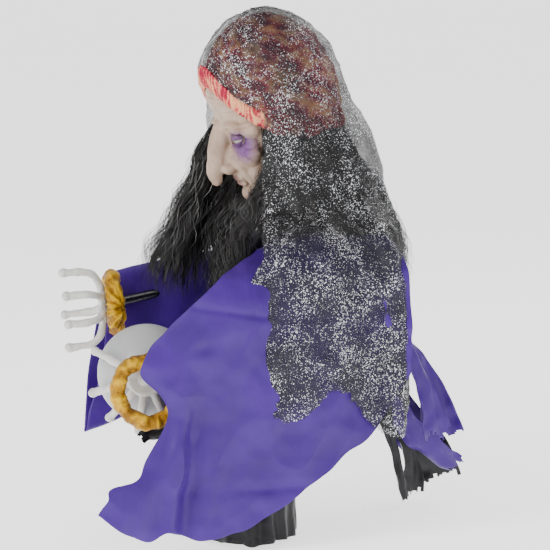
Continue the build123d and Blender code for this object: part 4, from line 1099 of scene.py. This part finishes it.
def strip(name, line, width, length, material, seed):
    """A torn strip of cloth along a chest-frame line of (x, y, z), curling as it hangs."""
    t = np.linspace(0, 1, 90)
    middle = along(line, t)
    across = np.linspace(-1, 1, 26)
    run = np.gradient(middle, axis=0)
    run = run / np.linalg.norm(run, axis=1, keepdims=True)
    turn = STRIP_TWIST * np.sin(2.4 * t + seed) + 0.25 * noise_on(t * 0.3, 0.05, seed)
    flat = np.stack([np.sin(turn), np.cos(turn), np.zeros_like(turn)], axis=1)
    flat = flat - (flat * run).sum(axis=1, keepdims=True) * run
    flat = flat / np.linalg.norm(flat, axis=1, keepdims=True)
    bulge = np.cross(run, flat)
    half = width / 2 * (0.8 + 0.35 * np.sin(3 * t + seed))
    mm = middle[:, None, :] + across[None, :, None] * half[:, None, None] * flat[:, None, :]
    curl = 0.16 * width * (across[None, :] ** 2) * np.sin(5 * t + seed)[:, None]
    curl = curl + 3.0 * np.sin(across[None, :] * 4 + 5 * t[:, None] + seed)
    mm = mm + curl[..., None] * bulge[:, None, :]
    points = chest(mm[..., 0], mm[..., 1], mm[..., 2])
    points = points + 0.002 * noise(points, 0.02, seed)[..., None] * bulge[:, None, :]
    points[..., 2] = np.maximum(points[..., 2], 0.003)
    cut = 1 - STRIP_RAGGED * (1 + noise_on(across * 0.2, 0.03, seed + 1)) * 3
    obj = surface(name, points, material, keep=t[:, None] < cut[None, :])
    modify(obj, "SOLIDIFY", thickness=GAUZE_THICK, offset=0)
    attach(obj, "stand")
    return obj


# Each strip's name, the chest-frame line down its middle, and its drawn width and cut length in millimetres.
PURPLE_STRIPS = (
    ("tatter_purple_near", [(60, 102, 345), (62, 138, 300), (58, 168, 240), (54, 190, 170), (52, 204, 108)],
     72, 200),
    ("tatter_purple_high", [(20, 104, 330), (22, 150, 284), (18, 190, 222), (14, 218, 150), (12, 236, 96)],
     64, 230),
    ("tatter_purple_low", [(-30, 100, 250), (-34, 150, 190), (-38, 190, 130), (-40, 222, 84), (-40, 248, 56)],
     56, 270),
    ("tatter_purple_tail", [(30, 104, 200), (30, 150, 160), (26, 196, 110), (22, 232, 78), (20, 262, 60)],
     44, 270),
)
BLACK_STRIPS = (
    ("gauze_front_high", [(110, -196, 232), (112, -240, 200), (110, -276, 176), (108, -296, 162)],
     34, 140),
    ("gauze_front_low", [(120, -190, 206), (122, -236, 172), (120, -262, 150), (118, -284, 128)],
     30, 120),
    ("tatter_black_near", [(50, 90, 215), (48, 120, 170), (46, 138, 110), (44, 148, 60), (40, 164, 16)],
     44, 160),
    ("tatter_black_middle", [(0, 98, 180), (-4, 148, 140), (-10, 178, 100), (-14, 188, 50), (-12, 184, 12)],
     50, 150),
    ("tatter_black_far", [(-30, 100, 190), (-34, 160, 150), (-40, 212, 110), (-44, 240, 60), (-40, 250, 22)],
     62, 210),
)
for strip_set, strip_cloth, first_seed in ((PURPLE_STRIPS, PURPLE, 60), (BLACK_STRIPS, BLACK_GAUZE, 70)):
    for strip_number, strip_facts in enumerate(strip_set):
        strip(*strip_facts, strip_cloth, first_seed + strip_number)
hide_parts("back_tatters")


def skirt():
    """The gathered black gauze skirt round the base, in deep folds with a ragged hem."""
    sections = [(4, 182, 88, -122), (66, 168, 88, -116), (146, 124, 80, -28)]
    points, out, low = tube(sections, 420, 90)
    folds = np.sin(circle(420) * 19 + 2.5 * noise(points * [1, 1, 0.15], 0.09, 81))
    depth = (0.001 + 0.0050 * low) * (0.75 * folds + 0.45) + 0.0015 * noise(points, 0.03, 82)
    points = points + out * depth[..., None]
    points[..., 2] += 0.004 * low * (1 + noise(points * [1, 1, 0], 0.02, 83))
    obj = surface("gauze_skirt", points, BLACK_GAUZE, closed=True)
    modify(obj, "SOLIDIFY", thickness=GAUZE_THICK, offset=0)
    return obj


gauze_skirt = skirt()
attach(gauze_skirt, "stand")
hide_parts("under_skirt")


# Hands, cuffs and ball -----------------

repaint(BALL, "ball_shell_near", "ball_shell_far")


def remeshed(name, node, material, voxel, smoothing):
    """A new piece from a copy of a CAD node's mesh, in even small faces and smoothed."""
    obj = frame["nodes"][node].copy()
    obj.data = frame["nodes"][node].data.copy()
    obj.parent = None
    obj.matrix_world = Matrix.Identity(4)
    obj.name = name
    bpy.context.collection.objects.link(obj)
    obj.data.materials.clear()
    obj.data.materials.append(material)
    modify(obj, "REMESH", mode="VOXEL", voxel_size=voxel)
    modify(obj, "SMOOTH", factor=0.5, iterations=smoothing)
    return obj


def cuff(name, node, body, seed):
    """A puffed ring of crinkled gold cloth in the place of its CAD ring."""
    low, high = (np.array(v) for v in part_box(node))
    obj = remeshed(name, node, GOLD_LAME, 0.0016, 3)
    points = coordinates(obj)
    n = vertex_normals(obj)
    middle = (low + high) / 2
    around = np.arctan2(points[:, 2] - middle[2], points[:, 1] - middle[1])
    ruffle = np.sin(around * 9 + 4 * noise(points, 0.03, seed))
    ruffle = ruffle + 0.5 * np.sin(around * 23 + 5 * noise(points, 0.02, seed))
    crumple = noise(points, 0.014, seed + 1) + 0.6 * noise(points, 0.006, seed + 2)
    depth = 0.0012 * ruffle + 0.0026 * crumple
    # Crease height colours the gold lamé: raised ruffles painted bright gold as a highlight, hollows painted dark
    # as shade.
    mark_crease_shading(obj, 0.5 + 0.2 * ruffle + 0.35 * crumple)
    place(obj, points + n * depth[:, None])
    obj.data.polygons.foreach_set("use_smooth", [True] * len(obj.data.polygons))
    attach(obj, body)
    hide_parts(node)


cuff("gold_cuff_left", "cuff_left", "stand", 91)
cuff("gold_cuff_right", "cuff_right", "right_arm", 95)


def moulded_hand(name, node, body, seed):
    """The moulded white hand with knuckles and wrinkles worked into its surface."""
    obj = remeshed(name, node, WHITE, 0.0014, 6)
    points = coordinates(obj)
    n = vertex_normals(obj)
    depth = 0.0010 * noise(points, 0.012, seed) + 0.0004 * noise(points, 0.004, seed + 1)
    place(obj, points + n * depth[:, None])
    obj.data.polygons.foreach_set("use_smooth", [True] * len(obj.data.polygons))
    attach(obj, body)
    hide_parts(node)


moulded_hand("white_hand_left", "hand_left", "stand", 101)
moulded_hand("white_hand_right", "hand_right", "right_arm", 103)


# Carried-over CAD nodes ----------------

repaint(plastic("base_iron", (0.022, 0.022, 0.024), 0.45, 0.5, 0.6), "base_plate")
repaint(plastic("clamp_plastic", (0.03, 0.03, 0.033)), "pole_clamp")
repaint(plastic("black_tube", (0.02, 0.02, 0.022), 0.3, 0.1, 0.7),
        "pole_lower", "pole_upper", "forearm_left", "forearm_right")
repaint(plastic("mat_rubber", (0.02, 0.02, 0.02), 0.8, 0.6), "base_mat")
repaint(brushed("frame_steel", (0.6, 0.6, 0.62)), "shoulder_bracket", "shoulder_axle_right", "neck_shaft")
repaint(plastic("frame_plastic", (0.05, 0.05, 0.055)), "spine_block", "gearbox_case", "gearbox_lid",
        "upper_arm_left", "upper_arm_right", "elbow_left", "elbow_right")
repaint(plastic("bust_plastic", (0.10, 0.09, 0.11), 0.55), "torso_front", "torso_back")
repaint(brushed("screw_steel", (0.55, 0.55, 0.55)), "torso_screws")
repaint(plastic("gear_plastic", (0.8, 0.79, 0.74), 0.4),
        "head_gear", "arm_gear", "neck_bush", "shoulder_bush")
repaint(brushed("pinion_brass", (0.78, 0.58, 0.25)), "head_pinion", "arm_pinion")
repaint(brushed("motor_can", (0.56, 0.57, 0.6)), "head_motor", "arm_motor")
repaint(plastic("lamp_board", (0.75, 0.78, 0.72), 0.3), "ball_lamp")
repaint(plastic("box_plastic", (0.03, 0.03, 0.032), 0.5, 0.35), "base_housing", "battery_door")
repaint(plastic("speaker_cone", (0.04, 0.04, 0.042), 0.8), "speaker")
repaint(plastic("cell_jacket", (0.10, 0.2, 0.32), 0.3, 0.05, 0.4), "battery_cells")
repaint(plastic("control_red", (0.32, 0.02, 0.02), 0.25), "try_button", "mode_switch", "clamp_knob")


# Floor, light and camera ---------------


def light(name, place_at, size, power, target):
    """A soft area light that points at target."""
    lamp = bpy.data.lights.new(name, "AREA")
    lamp.shape = "DISK"
    lamp.size = size
    lamp.energy = power
    obj = bpy.data.objects.new(name, lamp)
    obj.location = place_at
    obj.rotation_euler = (Vector(target) - Vector(place_at)).to_track_quat("-Z", "Y").to_euler()
    bpy.context.collection.objects.link(obj)


# The floor's half size and how far it lies under the mat, in metres, and its own glow.
FLOOR_HALF, FLOOR_DROP, FLOOR_GLOW = 16, 0.0005, 1.5
WORLD_STRENGTH = 0.7


def stage():
    """A pale floor, white surroundings and soft lights."""
    s = Shader("pale_floor", roughness=0.9)
    two_tone(s, 0.5, (0.90, 0.90, 0.90), (0.93, 0.93, 0.93))
    s.bsdf.inputs["Emission Color"].default_value = (1, 1, 1, 1)
    s.bsdf.inputs["Emission Strength"].default_value = FLOOR_GLOW
    corners = [(x * FLOOR_HALF, y * FLOOR_HALF, 0) for x, y in ((-1, -1), (1, -1), (1, 1), (-1, 1))]
    floor = piece("floor", corners, [(0, 1, 2, 3)], s.material)
    floor.location.z = -FLOOR_DROP
    world = bpy.data.worlds.new("studio")
    world.use_nodes = True
    background = world.node_tree.nodes["Background"]
    background.inputs["Color"].default_value = (1, 1, 1, 1)
    background.inputs["Strength"].default_value = WORLD_STRENGTH
    bpy.context.scene.world = world
    middle = (0, 0.08, 0.4)
    light("key", (1.0, -2.0, 1.9), 1.0, 44, middle)
    light("fill", (2.4, 0.4, 1.2), 1.6, 12, middle)
    light("rim", (-0.8, 2.0, 1.8), 1.2, 18, middle)


# Degrees, degrees, metres and millimetres.
CAMERA_AZIMUTH, CAMERA_ELEVATION, CAMERA_DISTANCE, CAMERA_LENS = 70, 10, 6.966, 300
CAMERA_TARGET = Vector((0, CHEST_Y - 0.0404, 0.3806))


def camera():
    """The camera at the side of the figure, a little above it."""
    a, e = radians(CAMERA_AZIMUTH), radians(CAMERA_ELEVATION)
    away = Vector((sin(a) * cos(e), -cos(a) * cos(e), sin(e)))
    data = bpy.data.cameras.new("camera")
    data.lens = CAMERA_LENS
    data.sensor_width = 36
    obj = bpy.data.objects.new("camera", data)
    obj.location = CAMERA_TARGET + away * CAMERA_DISTANCE
    obj.rotation_euler = (-away).to_track_quat("-Z", "Y").to_euler()
    bpy.context.collection.objects.link(obj)
    bpy.context.scene.camera = obj


stage()
camera()
